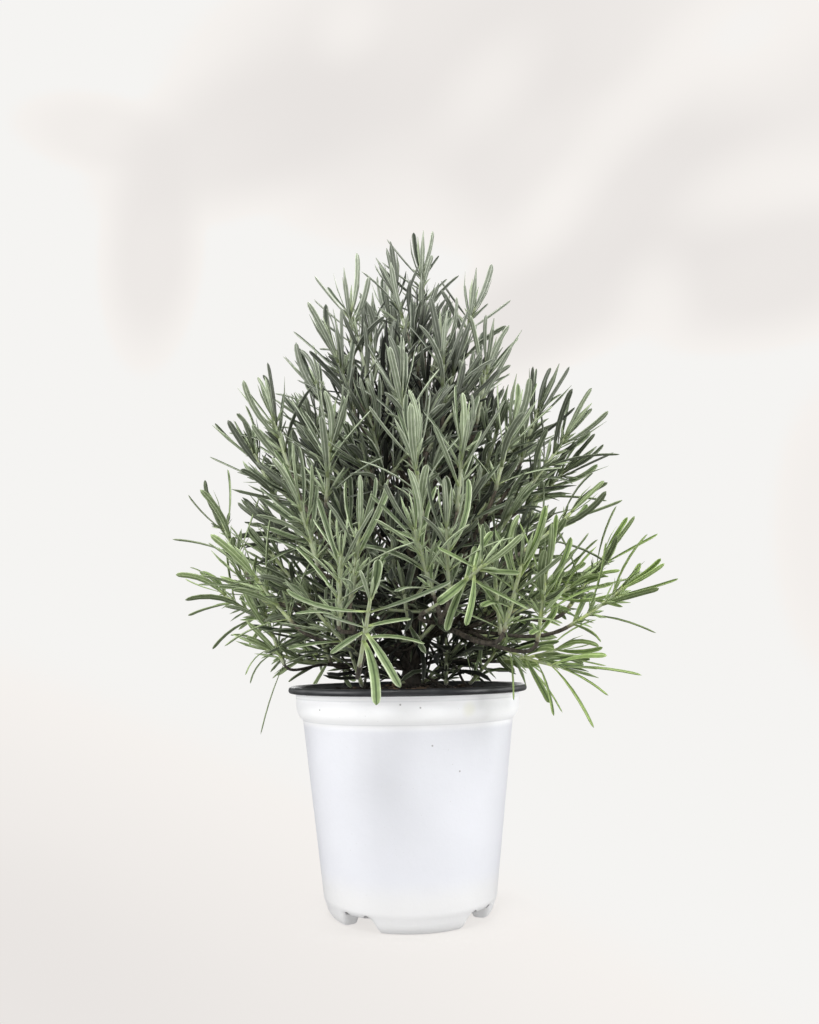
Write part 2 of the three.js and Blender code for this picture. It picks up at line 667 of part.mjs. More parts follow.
function drawnLeaf(pair, k, fan, draw) {
  const turn = TURN_SPREAD * (draw() - 0.5);
  const opening = OPENING_SPREAD * (draw() - 0.5);
  const length = pair.length * (1 + LENGTH_SPREAD * (draw() - 0.5));
  const width = k === 0 ? TOP_LEAF_WIDTH : LEAF_WIDTH * (1 + WIDTH_SPREAD * (draw() - 0.5));
  const rootAngle = pair.rootAngle * fan + opening;
  const tipAngle = pair.tipAngle * fan + opening;
  return { turn, rootAngle, tipAngle, length, width };
}

function leafPairs(shoot) {
  if (SEEN_LEAVES.has(shoot.number)) return SEEN_LEAVES.get(shoot.number);
  const fan = 1 - FAN_CLOSING * THREE.MathUtils.clamp((shoot.tip.z - FAN_LOW) / (FAN_HIGH - FAN_LOW), 0, 1);
  return LEAF_PAIRS.map((pair, k) => {
    const leaves = [drawnLeaf(pair, k, fan, shoot.draw), drawnLeaf(pair, k, fan, shoot.draw)];
    return { below: pair.below, leaves };
  });
}

// A leaf that would touch another shoot is turned, opened or shortened a little until it is clear.
function growLeaves(shoots, obstacles) {
  for (const shoot of shoots) {
    const sag = LEAF_SAG + LOW_SAG * shoot.low;
    leafPairs(shoot).forEach((pair, k) => {
      const share = 1 - pair.below / shoot.length;
      const node = { share, leaves: [] };
      const { centre, axis, outAt } = stemFrame(shoot, share);
      [k % 2, k % 2 + 2].forEach((stemFace, i) => {
        const { turn, length, width, ...leaf } = pair.leaves[i];
        const root = outAt(radians(90 * stemFace)).multiplyScalar(STEM_RADIUS * ROOT_DEPTH_SHARE);
        root.add(centre);
        for (const [turned, opened, shortened] of LEAF_TRIES) {
          const out = outAt(radians(90 * stemFace + turn + turned));
          const rootAngle = leaf.rootAngle + opened;
          const tipAngle = leaf.tipAngle + opened;
          const points = leafMidline(root, axis, out, length * shortened, rootAngle, tipAngle, sag);
          if (!midlineIsClear(points, shoot.number, obstacles)) continue;
          node.leaves[stemFace] = { points, side: axis.clone().cross(out), width };
          points.slice(1).forEach((end, j) => {
            obstacles.push({ a: points[j], b: end, radius: width / 2, owner: shoot.number, outer: j > 0 });
          });
          break;
        }
      });
      shoot.nodes.push(node);
    });
  }
}

// One closed skin for a shoot. Its square stem has two rings at each pair of leaves, and each leaf
// is drawn out of the face between them: flat above, with the rib's keel below, tapered to its tip.
function shootSolid(shoot) {
  const points = [];
  const faces = [];
  const add = (point) => points.push(point) - 1;
  const face = (...corners) => {
    for (let i = 1; i + 1 < corners.length; i += 1) faces.push(corners[0], corners[i], corners[i + 1]);
  };
  const ringAt = (share, lift = 0) => {
    const { centre, axis, outAt } = stemFrame(shoot, share);
    const radius = STEM_RADIUS * (1 - STEM_TAPER * share);
    return [0, 1, 2, 3].map((j) => {
      const corner = outAt(radians(90 * j - 45)).multiplyScalar(radius);
      return add(corner.add(centre).addScaledVector(axis, lift));
    });
  };
  const half = ROOT_HEIGHT / 2 / shoot.length;
  let ring = ringAt(0, GAP);
  face(ring[3], ring[2], ring[1], ring[0]);
  for (const node of [...shoot.nodes].reverse()) {
    const low = ringAt(node.share - half);
    const high = ringAt(node.share + half);
    for (let j = 0; j < 4; j += 1) {
      const next = (j + 1) % 4;
      face(ring[j], ring[next], low[next], low[j]);
      const leaf = node.leaves[j];
      if (!leaf) {
        face(low[j], low[next], high[next], high[j]);
        continue;
      }
      // Seen from outside with the tip up, the face's left side is its corner j.
      let right = high[next];
      let left = high[j];
      let keels = [low[j], low[next]];
      leaf.points.slice(1, -1).forEach((centre, i) => {
        const heading = leaf.points[i + 2].clone().sub(leaf.points[i]).normalize();
        const above = heading.clone().cross(leaf.side).normalize();
        const flat = centre.clone().addScaledVector(above, LEAF_THICKNESS * (1 - KEEL_SHARE));
        const nextRight = add(flat.clone().addScaledVector(leaf.side, leaf.width / 2));
        const nextLeft = add(flat.clone().addScaledVector(leaf.side, -leaf.width / 2));
        const keel = add(centre.clone().addScaledVector(above, -LEAF_THICKNESS * KEEL_SHARE));
        face(right, left, nextLeft, nextRight);
        face(left, keels[0], keel, nextLeft);
        face(keels[keels.length - 1], right, nextRight, keel);
        if (keels.length === 2) face(keels[0], keels[1], keel);
        [left, right, keels] = [nextLeft, nextRight, [keel]];
      });
      const tip = add(leaf.points[leaf.points.length - 1]);
      face(right, left, tip);
      face(left, keels[0], tip);
      face(keels[0], right, tip);
    }
    ring = high;
  }
  face(...ring);
  const geometry = new THREE.BufferGeometry();
  const places = points.flatMap((point) => point.toArray());
  geometry.setAttribute('position', new THREE.Float32BufferAttribute(places, 3));
  geometry.setIndex(faces);
  return solidFrom(geometry);
}

function sidesFor(twig, points) {
  if (twig[0] === 0) return TRUNK_SIDES;
  return points[twig[1]].load > TWIG_LOAD ? LIMB_SIDES : TWIG_SIDES;
}

// The trunk, limbs and twigs in one solid. A twig starts in the middle of the limb that it leaves.
function woodSolid({ points, twigs }) {
  return wasm.Manifold.union(twigs.map((twig) => {
    const places = twig.map((i) => points[i].at);
    const radii = twig.map((i, j) => points[j === 0 ? twig[1] : i].radius);
    return tube(places, radii, sidesFor(twig, points), points[twig[twig.length - 1]].heading);
  }));
}

function trunkHole(wood) {
  const radius = wood.points[0].radius + GAP;
  const foot = new THREE.Vector3(TRUNK_X, TRUNK_Y, TRUNK_FOOT - GAP);
  const top = new THREE.Vector3(TRUNK_X, TRUNK_Y, POT_HEIGHT);
  return tube([foot, top], [radius, radius], TRUNK_SIDES, UP);
}

const shoots = placeShoots();
const wood = growWood(shoots);
growLeaves(shoots, obstaclesFrom(shoots, wood));

const plant = new THREE.Group();
plant.add(meshFrom(potSolid(), 'pot', '#eef0f4', 0.45));
plant.add(meshFrom(soilSolid(trunkHole(wood)), 'soil', '#2b211a', 0.95));
plant.add(meshFrom(woodSolid(wood), 'woody_crown', '#6e5a45', 0.85));
for (const shoot of shoots) {
  const name = `leafy_shoot_${String(shoot.number + 1).padStart(2, '0')}`;
  plant.add(meshFrom(shootSolid(shoot), name, '#7f9473', 0.7));
}

export default plant;
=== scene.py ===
# Potted lavender: the looks of a bushy young plant, its soil and its thin nursery pot.

import math

import bmesh
import bpy
import numpy as np
from mathutils import Matrix, Vector, noise


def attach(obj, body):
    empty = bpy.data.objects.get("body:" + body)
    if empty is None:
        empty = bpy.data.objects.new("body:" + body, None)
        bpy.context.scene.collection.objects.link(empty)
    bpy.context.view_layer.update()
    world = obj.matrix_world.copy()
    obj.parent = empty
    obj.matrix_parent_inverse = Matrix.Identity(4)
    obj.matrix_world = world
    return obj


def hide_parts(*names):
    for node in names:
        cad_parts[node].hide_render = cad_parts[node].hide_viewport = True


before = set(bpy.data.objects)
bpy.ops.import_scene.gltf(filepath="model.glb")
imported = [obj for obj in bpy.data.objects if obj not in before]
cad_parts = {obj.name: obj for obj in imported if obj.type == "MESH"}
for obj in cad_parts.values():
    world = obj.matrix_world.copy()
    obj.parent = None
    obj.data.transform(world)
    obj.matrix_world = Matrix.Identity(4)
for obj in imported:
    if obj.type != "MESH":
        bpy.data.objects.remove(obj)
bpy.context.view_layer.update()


# Camera
# It stands level with the lowest leaves, in front of the pot, and is tipped up and leans over a
# little, as it did for the photograph.

PHOTO_WIDTH = 819
PHOTO_HEIGHT = 1024
LENS_PIXELS = 900
POT_AXIS_PIXEL = 405
SENSOR_MM = 36
CAMERA_PLACE = (0.0, -0.640, 0.172)
CAMERA_TILT = 0.155
CAMERA_LEAN = 0.0145

camera_lens = bpy.data.cameras.new("camera")
camera_lens.sensor_width = SENSOR_MM
camera_lens.lens = SENSOR_MM * LENS_PIXELS / PHOTO_HEIGHT
camera_lens.shift_x = (PHOTO_WIDTH / 2 - POT_AXIS_PIXEL) / PHOTO_HEIGHT
camera = bpy.data.objects.new("camera", camera_lens)
bpy.context.scene.collection.objects.link(camera)
looking = Matrix.Rotation(math.pi / 2 + CAMERA_TILT, 4, "X") @ Matrix.Rotation(-CAMERA_LEAN, 4, "Z")
camera.matrix_world = Matrix.Translation(CAMERA_PLACE) @ looking
bpy.context.scene.camera = camera


# Studio
# The pale wall is the room's own colour with soft leaf shadows on it, and a nearly clear disc of
# floor takes the pot's faint shadow. Large panels light the plant from above, from low in front, from
# the front, the back, both sides and both back corners, and the room adds a weak light all round.

WALL_COLOUR = (0.913, 0.905, 0.888)
# The warm rim and the full colour of the painted shadows on the wall, and how soon the rim is full.
WALL_SHADOW_RIM_COLOUR = (0.930, 0.900, 0.870)
WALL_SHADE_COLOUR = (0.798, 0.766, 0.745)
WALL_SHADOW_RIM_REACH = 0.12
ROOM_LIGHT = 0.27
FLOOR_COLOUR = (0.60, 0.588, 0.575)
FLOOR_ROUGHNESS = 0.9
FLOOR_SIDES = 96
FLOOR_RADIUS = 0.10
FLOOR_FADE = (0.048, 0.095)
FLOOR_CLEAR = 0.80

# Each panel's place, the point that it faces, its side in metres and its power in watts.
PANELS = {
    "top_panel": ((-0.15, -0.95, 1.45), (0.0, 0.0, 0.20), 0.45, 22.0),
    "left_panel": ((-1.02, -0.42, 0.38), (0.0, 0.0, 0.16), 0.5, 6.9),
    "right_panel": ((1.05, -0.32, 0.38), (0.0, 0.0, 0.16), 0.5, 8.6),
    "left_back_panel": ((-1.05, 0.45, 0.40), (0.0, 0.0, 0.16), 0.5, 1.5),
    "right_back_panel": ((1.05, 0.45, 0.40), (0.0, 0.0, 0.16), 0.5, 2.2),
    "front_panel": ((-0.15, -1.5, 0.42), (0.0, 0.0, 0.12), 0.9, 3.7),
    "back_panel": ((0.0, 1.3, 0.55), (0.0, 0.0, 0.20), 0.9, 10.0),
    "low_panel": ((0.0, -0.6, -0.85), (0.0, 0.0, 0.14), 0.8, 4.3),
}

# The soft shadows on the wall and the lighter gaps in them: middle and half sizes in pixels of the
# photo, turn in degrees, and strength.
WALL_SHADOWS = [
    ((152, 250), (40, 96), -10, 0.62), ((105, 135), (66, 30), 0, 0.35),
    ((260, 130), (136, 56), 22, 0.70), ((400, 55), (180, 80), 10, 0.62),
    ((395, 148), (132, 78), 0, 0.50), ((600, 30), (150, 66), 0, 0.62),
    ((520, 150), (90, 70), 45, 0.55), ((600, 220), (190, 62), 48, 0.65),
    ((565, 300), (130, 52), 20, 0.60), ((762, 268), (116, 62), 5, 0.72),
    ((800, 100), (100, 62), 0, 0.55), ((690, 190), (90, 70), 30, 0.50),
    ((-60, 1090), (640, 262), -27, 0.66), ((-80, 1030), (240, 130), -27, 0.60),
    ((835, 530), (48, 120), 0, 0.25),
]
WALL_GAPS = [
    ((350, 25), (32, 24), 30, 0.55), ((490, 85), (54, 30), 40, 0.55), ((552, 210), (64, 26), 48, 0.80),
    ((650, 95), (84, 26), 42, 0.60), ((745, 35), (66, 52), 0, 0.90), ((765, 180), (62, 32), 15, 0.60),
    ((410, 215), (54, 32), 0, 0.45), ((655, 305), (32, 44), 0, 0.65),
]
SHADOW_SOFTNESS = (0.45, 1.35)
GAP_SOFTNESS = (0.10, 1.65)

bpy.context.scene.view_settings.view_transform = "Standard"


def add_node(tree, kind, inputs=None, **settings):
    made = tree.nodes.new(kind)
    for name, value in settings.items():
        setattr(made, name, value)
    for name, value in (inputs or {}).items():
        if isinstance(value, bpy.types.NodeSocket):
            tree.links.new(value, made.inputs[name])
        else:
            made.inputs[name].default_value = value
    return made


def mixed(tree, share, low, high, blend="MIX"):
    """A colour between two, by a share that may be a number or a socket."""
    made = add_node(tree, "ShaderNodeMix", data_type="RGBA", blend_type=blend)
    for index, value in ((0, share), (6, low), (7, high)):
        if isinstance(value, bpy.types.NodeSocket):
            tree.links.new(value, made.inputs[index])
        elif index == 0:
            made.inputs[index].default_value = value
        else:
            made.inputs[index].default_value = (*value, 1)
    return made.outputs[2]


def ranged(tree, value, low, high, to_low=0.0, to_high=1.0):
    made = add_node(tree, "ShaderNodeMapRange", {
        "Value": value, "From Min": low, "From Max": high, "To Min": to_low, "To Max": to_high,
    }, interpolation_type="SMOOTHSTEP")
    return made.outputs["Result"]


def worked_out(tree, operation, *values):
    """The result of a sum on numbers or sockets."""
    return add_node(tree, "ShaderNodeMath", dict(enumerate(values)), operation=operation).outputs[0]


def wall_shadow(tree, way, middle, halves, turn, strength, softness=SHADOW_SOFTNESS):
    """How much of the light one soft oval shadow leaves, in the direction that the wall is seen."""
    right, up, back = (looking.to_3x3() @ Vector(axis) for axis in ((1, 0, 0), (0, 1, 0), (0, 0, 1)))
    across = (middle[0] - POT_AXIS_PIXEL) / LENS_PIXELS
    above = (PHOTO_HEIGHT / 2 - middle[1]) / LENS_PIXELS
    towards = (right * across + up * above - back).normalized()
    angle = math.radians(turn)
    long_way = right * math.cos(angle) + up * math.sin(angle)
    short_way = up * math.cos(angle) - right * math.sin(angle)
    parts = []
    for axis, half in ((long_way, halves[0]), (short_way, halves[1])):
        axis = (axis - towards * axis.dot(towards)).normalized() * LENS_PIXELS / half
        parts.append(add_node(tree, "ShaderNodeVectorMath", {0: way, 1: axis}, operation="DOT_PRODUCT"))
    place = add_node(tree, "ShaderNodeCombineXYZ", {
        "X": parts[0].outputs["Value"], "Y": parts[1].outputs["Value"],
    })
    reach = add_node(tree, "ShaderNodeVectorMath", {0: place.outputs[0]}, operation="LENGTH")
    return ranged(tree, reach.outputs["Value"], *softness, 1 - strength, 1)


room = bpy.data.worlds.new("room")
room.use_nodes = True
room_tree = room.node_tree
room_way = add_node(room_tree, "ShaderNodeTexCoord").outputs["Generated"]
room_clear = 1.0
for shadow in WALL_SHADOWS:
    light_left = wall_shadow(room_tree, room_way, *shadow)
    room_clear = worked_out(room_tree, "MULTIPLY", room_clear, light_left)
room_dark = worked_out(room_tree, "SUBTRACT", 1.0, room_clear)
for gap in WALL_GAPS:
    dark_left = wall_shadow(room_tree, room_way, *gap, GAP_SOFTNESS)
    room_dark = worked_out(room_tree, "MULTIPLY", room_dark, dark_left)
# Painted shadow: the wall turns warm at the rims of its shadows and darker within them.
room_shadow_rim = ranged(room_tree, room_dark, 0.0, WALL_SHADOW_RIM_REACH)
room_pale = mixed(room_tree, room_shadow_rim, WALL_COLOUR, WALL_SHADOW_RIM_COLOUR)
room_colour = mixed(room_tree, room_dark, room_pale, WALL_SHADE_COLOUR)
room_seen = add_node(room_tree, "ShaderNodeBackground", {"Color": room_colour})
room_lit = room_tree.nodes["Background"]
room_lit.inputs["Color"].default_value = (1, 1, 1, 1)
room_lit.inputs["Strength"].default_value = ROOM_LIGHT
room_ray = add_node(room_tree, "ShaderNodeLightPath")
room_mix = add_node(room_tree, "ShaderNodeMixShader", {0: room_ray.outputs["Is Camera Ray"]})
room_tree.links.new(room_lit.outputs[0], room_mix.inputs[1])
room_tree.links.new(room_seen.outputs[0], room_mix.inputs[2])
room_tree.links.new(room_mix.outputs[0], room_tree.nodes["World Output"].inputs["Surface"])
bpy.context.scene.world = room

for panel_name, (place, target, side, power) in PANELS.items():
    panel_light = bpy.data.lights.new(panel_name, "AREA")
    panel_light.size = side
    panel_light.energy = power
    panel = bpy.data.objects.new(panel_name, panel_light)
    panel.location = place
    panel.rotation_euler = (Vector(target) - Vector(place)).to_track_quat("-Z", "Y").to_euler()
    bpy.context.scene.collection.objects.link(panel)

floor_mesh = bpy.data.meshes.new("floor")
floor_turns = np.linspace(0, 2 * math.pi, FLOOR_SIDES, endpoint=False)
floor_edge = [(FLOOR_RADIUS * math.cos(t), FLOOR_RADIUS * math.sin(t), 0) for t in floor_turns]
floor_mesh.from_pydata(floor_edge, [], [list(range(len(floor_edge)))])
floor = bpy.data.objects.new("floor", floor_mesh)
bpy.context.scene.collection.objects.link(floor)

floor_finish = bpy.data.materials.new("floor_paper")
floor_finish.use_nodes = True
floor_tree = floor_finish.node_tree
floor_shader = floor_tree.nodes["Principled BSDF"]
floor_shader.inputs["Base Color"].default_value = (*FLOOR_COLOUR, 1)
floor_shader.inputs["Roughness"].default_value = FLOOR_ROUGHNESS
floor_place = add_node(floor_tree, "ShaderNodeNewGeometry").outputs["Position"]
floor_reach = add_node(floor_tree, "ShaderNodeVectorMath", {0: floor_place}, operation="LENGTH")
floor_share = ranged(floor_tree, floor_reach.outputs["Value"], *FLOOR_FADE, FLOOR_CLEAR, 1.0)
floor_clear = add_node(floor_tree, "ShaderNodeBsdfTransparent")
floor_mix = add_node(floor_tree, "ShaderNodeMixShader", {
    0: floor_share,
    1: floor_shader.outputs[0],
    2: floor_clear.outputs[0],
})
floor_tree.links.new(floor_mix.outputs[0], floor_tree.nodes["Material Output"].inputs["Surface"])
floor_mesh.materials.append(floor_finish)


# Pot
# A thin plastic sheet, white outside and black inside, formed in one piece over a mould. Its top
# edge is rolled outwards, so the black inside shows as the lip, and the feet are pressed into it.
# Lengths are in millimetres here and below, except where a finish measures places in metres.

MM = 0.001
POT_HEIGHT = 150.0
SHEET = 1.2
FLOOR_LEVEL = 8.0
FOOT_COUNT = 4
FOOT_TURN = math.radians(8)
NOTCH_HALF = math.radians(13)
NOTCH_SLOPE = math.radians(7)
POT_SIDES = 240
MERGE_DISTANCE = 1e-6
DRAIN_TURN = math.radians(8)
DRAIN_CIRCLE = 54.5
DRAIN_RADIUS = 3.0
DRAIN_DEPTH = 12.0
DRAIN_SIDES = 20

# The sheet's colours over these heights in metres: the feet differ a little from the wall, and the
# collar has painted light, whiter than the wall and whitest on the band at its foot, where the lip and
# the leaves shade it. The white is faintly cloudy, with fine grime.
WHITE = (0.760, 0.768, 0.812)
FOOT_WHITE = (0.778, 0.775, 0.778)
FOOT_LEVELS = (0.018, 0.036)
COLLAR_PAINTED_LIGHT_WHITE = (0.91, 0.912, 0.925)
COLLAR_FOOT_PAINTED_LIGHT_WHITE = (0.99, 0.99, 0.995)
COLLAR_LIGHT_LEVELS = (0.1225, 0.1285)
COLLAR_TOP_LIGHT_LEVELS = (0.131, 0.139)
CLOUD_SHARE = 0.965
CLOUDS = (22, 4.0, 0.55, 0.3, 0.75)
GRIME_COLOUR = (0.60, 0.60, 0.60)
GRIME = (900, 2.0, 0.55, 0.70, 0.80)
SCUFFS = (160, 3.0, 0.55, 0.3, 0.7)
SHEET_RELIEF = (240, 2.0, 0.55, 0.0002, 0.5)
BLACK = (0.010, 0.0105, 0.0125)
WORN_BLACK = (0.024, 0.025, 0.028)
WEAR = (90, 3.0, 0.55, 0.35, 0.7)
SHEET_ROUGHNESS = 0.46
ROUGHNESS_SPREAD = (0.40, 0.52)
LINING_ROUGHNESS = 0.42
SHEET_GLOW = 0.12
SHEET_GLOW_REACH = (0.004, 0.004, 0.0045)

# Painted shade in thin rings at the crease under the lip and at the step of the collar's foot, dark
# specks, and one yellowish stain. Each kind has its colour, the distances over which it fades, and its
# strength.
POT_CREASE_SHADE_RINGS = (0.1423, 0.1276)
POT_SPECKS = [
    (0.0148, -0.0693, 0.1150), (0.0318, -0.0611, 0.0985), (0.0077, -0.0768, 0.1385),
    (-0.0046, -0.0771, 0.1405), (-0.0563, -0.0525, 0.1365),
]
POT_STAINS = [(0.0383, -0.0668, 0.1365)]
CREASE_SHADE_LOOK = ((0.62, 0.63, 0.65), (0.0001, 0.0006), 0.30)
SPECK_LOOK = ((0.22, 0.21, 0.20), (0.0003, 0.0008), 0.75)
STAIN_LOOK = ((0.80, 0.79, 0.60), (0.001, 0.007), 0.38)

# Radius and height down the outside: the lip from its inner edge, the wall, then a foot or the notch
# between two feet, and the floor.
LIP_OUTLINE = [
    (77.9, 148.2), (78.3, 149.3), (79.2, 149.9), (80.4, 150.0), (81.5, 149.7), (82.2, 149.0),
    (82.5, 148.0), (82.5, 147.0), (82.2, 146.2), (81.6, 145.7), (80.8, 145.5),
]
WALL_OUTLINE = [
    (79.4, 145.6), (78.2, 145.5), (77.6, 145.0), (77.4, 144.2), (77.35, 142.6), (77.15, 142.1),
    (77.3, 141.6), (77.3, 139.5), (77.1, 137.0), (76.7, 134.5), (76.0, 132.2), (75.0, 130.2),
    (73.8, 128.8), (72.8, 127.9), (72.3, 127.0), (72.2, 125.5), (71.6, 120.8), (69.0, 99.9),
    (66.0, 75.6), (63.0, 51.3), (60.4, 30.3), (59.0, 18.6), (58.4, 13.6),
]
FOOT_OUTLINE = [
    (58.1, 12.0), (57.5, 10.4), (56.9, 8.8), (56.3, 6.8), (55.6, 4.8), (54.6, 3.0), (53.4, 1.5),
    (52.2, 0.6), (51.0, 0.1), (50.2, 0.0), (48.0, 0.0), (45.4, 0.0), (44.5, 0.25), (43.8, 0.9),
    (43.2, 2.2), (42.6, 4.2), (42.0, 6.0), (41.2, 7.3), (40.0, 7.9), (38.0, 8.0),
]
NOTCH_OUTLINE = [
    (58.2, 12.4), (57.8, 11.4), (57.2, 10.5), (56.4, 9.7), (55.4, 9.0), (54.4, 8.5), (53.4, 8.2),
    (52.4, 8.05), (51.4, 8.0), (50.4, 8.0), (49.2, 8.0), (48.0, 8.0), (46.8, 8.0), (45.6, 8.0),
    (44.4, 8.0), (43.2, 8.0), (42.0, 8.0), (40.8, 8.0), (39.4, 8.0), (38.0, 8.0),
]
FLOOR_OUTLINE = [(30.0, 8.0), (20.0, 8.0), (10.0, 8.0), (0.0, 8.0)]


def sheet_inside(outline):
    """The outline moved in by the sheet's thickness, square to it."""
    ways = np.gradient(outline, axis=0)
    ways /= np.linalg.norm(ways, axis=1, keepdims=True)
    return outline + SHEET * np.stack([ways[:, 1], -ways[:, 0]], axis=1)


def foot_share(turn):
    """1 on a foot, 0 in a notch, and an S curve between them."""
    from_notch = abs((turn - FOOT_TURN) % (2 * math.pi / FOOT_COUNT) - math.pi / FOOT_COUNT)
    share = np.clip((from_notch - NOTCH_HALF + NOTCH_SLOPE / 2) / NOTCH_SLOPE, 0, 1)
    return share * share * (3 - 2 * share)


def pot_outline(turn):
    share = foot_share(turn)
    foot = share * np.array(FOOT_OUTLINE) + (1 - share) * np.array(NOTCH_OUTLINE)
    outside = np.concatenate([WALL_OUTLINE, foot, FLOOR_OUTLINE])
    inside = sheet_inside(outside)[::-1]
    inside[0, 0] = 0.0
    return np.concatenate([LIP_OUTLINE, outside, inside[: -4]])


def mesh_piece(name, points, faces, materials, slots=None, attributes=None):
    """A smooth-shaded mesh object in metres from points in millimetres."""
    mesh = bpy.data.meshes.new(name)
    mesh.vertices.add(len(points))
    mesh.vertices.foreach_set("co", (np.asarray(points) * MM).astype(np.float32).ravel())
    sizes = faces.shape[1]
    mesh.loops.add(faces.size)
    mesh.loops.foreach_set("vertex_index", faces.astype(np.int32).ravel())
    mesh.polygons.add(len(faces))
    mesh.polygons.foreach_set("loop_start", np.arange(0, faces.size, sizes, dtype=np.int32))
    for material in materials:
        mesh.materials.append(material)
    if slots is not None:
        mesh.polygons.foreach_set("material_index", slots.astype(np.int32))
    for key, values in (attributes or {}).items():
        made = mesh.attributes.new(key, "FLOAT_VECTOR", "POINT")
        made.data.foreach_set("vector", values.astype(np.float32).ravel())
    mesh.polygons.foreach_set("use_smooth", np.ones(len(faces), bool))
    mesh.update(calc_edges=True)
    mesh.validate()
    piece = bpy.data.objects.new(name, mesh)
    bpy.context.scene.collection.objects.link(piece)
    return piece


def grid_faces(rows, columns, closed):
    """Faces between the points of rows, with the last row joined to the first where it is closed."""
    row = np.arange(rows)[:, None]
    after = (row + 1) % rows if closed else row + 1
    column = np.arange(columns - 1)[None, :]
    if not closed:
        row = row[:-1]
        after = after[:-1]
    corners = [row * columns + column, after * columns + column,
               after * columns + column + 1, row * columns + column + 1]
    return np.stack(np.broadcast_arrays(*corners), axis=-1).reshape(-1, 4)


def plain_finish(name, colour, roughness):
    material = bpy.data.materials.new(name)
    material.use_nodes = True
    shader = material.node_tree.nodes["Principled BSDF"]
    shader.inputs["Base Color"].default_value = (*colour, 1)
    shader.inputs["Roughness"].default_value = roughness
    return material, material.node_tree, shader


def speckle(tree, scale, detail, roughness, stretch):
    """Even noise over the object, at so many lumps a metre."""
    place = add_node(tree, "ShaderNodeTexCoord").outputs["Object"]
    if stretch:
        place = add_node(tree, "ShaderNodeMapping", {"Vector": place, "Scale": stretch}).outputs[0]
    made = add_node(tree, "ShaderNodeTexNoise", {
        "Vector": place, "Scale": scale, "Detail": detail, "Roughness": roughness,
    })
    return made.outputs["Fac"]


def patches(tree, look, to_low=0.0, to_high=1.0, stretch=None):
    """Soft patches from a look: lumps a metre, detail, roughness, and where they begin and are full."""
    scale, detail, roughness, low, high = look
    return ranged(tree, speckle(tree, scale, detail, roughness, stretch), low, high, to_low, to_high)


def bump(tree, shader, relief, stretch=None):
    """Fine relief: lumps a metre, detail, roughness, depth in metres and strength."""
    scale, detail, roughness, depth, strength = relief
    made = add_node(tree, "ShaderNodeBump", {
        "Height": speckle(tree, scale, detail, roughness, stretch),
        "Distance": depth,
        "Strength": strength,
    })
    tree.links.new(made.outputs[0], shader.inputs["Normal"])


def white_sheet():
    """Smooth white plastic, faintly cloudy, with specks, a stain and grime, painted light on the
    collar, and painted shade in thin rings at two creases.
    """
    material, tree, shader = plain_finish("white_sheet", WHITE, SHEET_ROUGHNESS)
    cloud = tuple(CLOUD_SHARE * part for part in WHITE)
    sheet = mixed(tree, patches(tree, CLOUDS), WHITE, cloud)
    place = add_node(tree, "ShaderNodeTexCoord").outputs["Object"]
    level = add_node(tree, "ShaderNodeSeparateXYZ", {0: place}).outputs["Z"]
    sheet = mixed(tree, ranged(tree, level, *FOOT_LEVELS), FOOT_WHITE, sheet)
    # Painted light: the collar is whiter than the wall, and whitest on the band at its foot, where the
    # lip and the leaves shade it.
    collar_light = mixed(tree, ranged(tree, level, *COLLAR_TOP_LIGHT_LEVELS), COLLAR_FOOT_PAINTED_LIGHT_WHITE, COLLAR_PAINTED_LIGHT_WHITE)
    sheet = mixed(tree, ranged(tree, level, *COLLAR_LIGHT_LEVELS), sheet, collar_light)
    marks = []
    # Painted shade: thin grey rings in the crease under the lip and at the collar's foot.
    for crease_ring in POT_CREASE_SHADE_RINGS:
        away = worked_out(tree, "ABSOLUTE", worked_out(tree, "SUBTRACT", level, crease_ring))
        marks.append((away, CREASE_SHADE_LOOK))
    for spots, look in ((POT_SPECKS, SPECK_LOOK), (POT_STAINS, STAIN_LOOK)):
        for spot in spots:
            away = add_node(tree, "ShaderNodeVectorMath", {0: place, 1: spot}, operation="DISTANCE")
            marks.append((away.outputs["Value"], look))
    for away, (colour, fade, strength) in marks:
        sheet = mixed(tree, ranged(tree, away, *fade, strength, 0.0), sheet, colour)
    grimy = mixed(tree, patches(tree, GRIME), sheet, GRIME_COLOUR)
    tree.links.new(grimy, shader.inputs["Base Color"])
    tree.links.new(patches(tree, SCUFFS, *ROUGHNESS_SPREAD), shader.inputs["Roughness"])
    shader.inputs["Subsurface Weight"].default_value = SHEET_GLOW
    shader.inputs["Subsurface Radius"].default_value = SHEET_GLOW_REACH
    shader.inputs["Subsurface Scale"].default_value = 1.0
    bump(tree, shader, SHEET_RELIEF)
    return material


def black_sheet():
    """The sheet's black inside, a little worn, which also shows on the rolled lip."""
    material, tree, shader = plain_finish("black_sheet", BLACK, LINING_ROUGHNESS)
    worn = mixed(tree, patches(tree, WEAR), BLACK, WORN_BLACK)
    tree.links.new(worn, shader.inputs["Base Color"])
    return material


def cut_drains(piece):
    """The round drain holes, one at each end of each notch."""
    cutters = []
    for i in range(FOOT_COUNT * 2):
        middle = FOOT_TURN - math.pi / 2 + (i // 2 + 0.5) * 2 * math.pi / FOOT_COUNT
        turn = middle + (DRAIN_TURN if i % 2 else -DRAIN_TURN)
        circle = DRAIN_CIRCLE * MM
        place = (circle * math.cos(turn), circle * math.sin(turn), FLOOR_LEVEL * MM)
        bpy.ops.mesh.primitive_cylinder_add(
            vertices=DRAIN_SIDES, radius=DRAIN_RADIUS * MM, depth=DRAIN_DEPTH * MM, location=place)
        cutters.append(bpy.context.object)
    for cutter in cutters:
        cut = piece.modifiers.new("drain", "BOOLEAN")
        cut.operation = "DIFFERENCE"
        cut.solver = "EXACT"
        cut.object = cutter
    graph = bpy.context.evaluated_depsgraph_get()
    piece.data = bpy.data.meshes.new_from_object(piece.evaluated_get(graph))
    piece.modifiers.clear()
    for cutter in cutters:
        bpy.data.objects.remove(cutter)


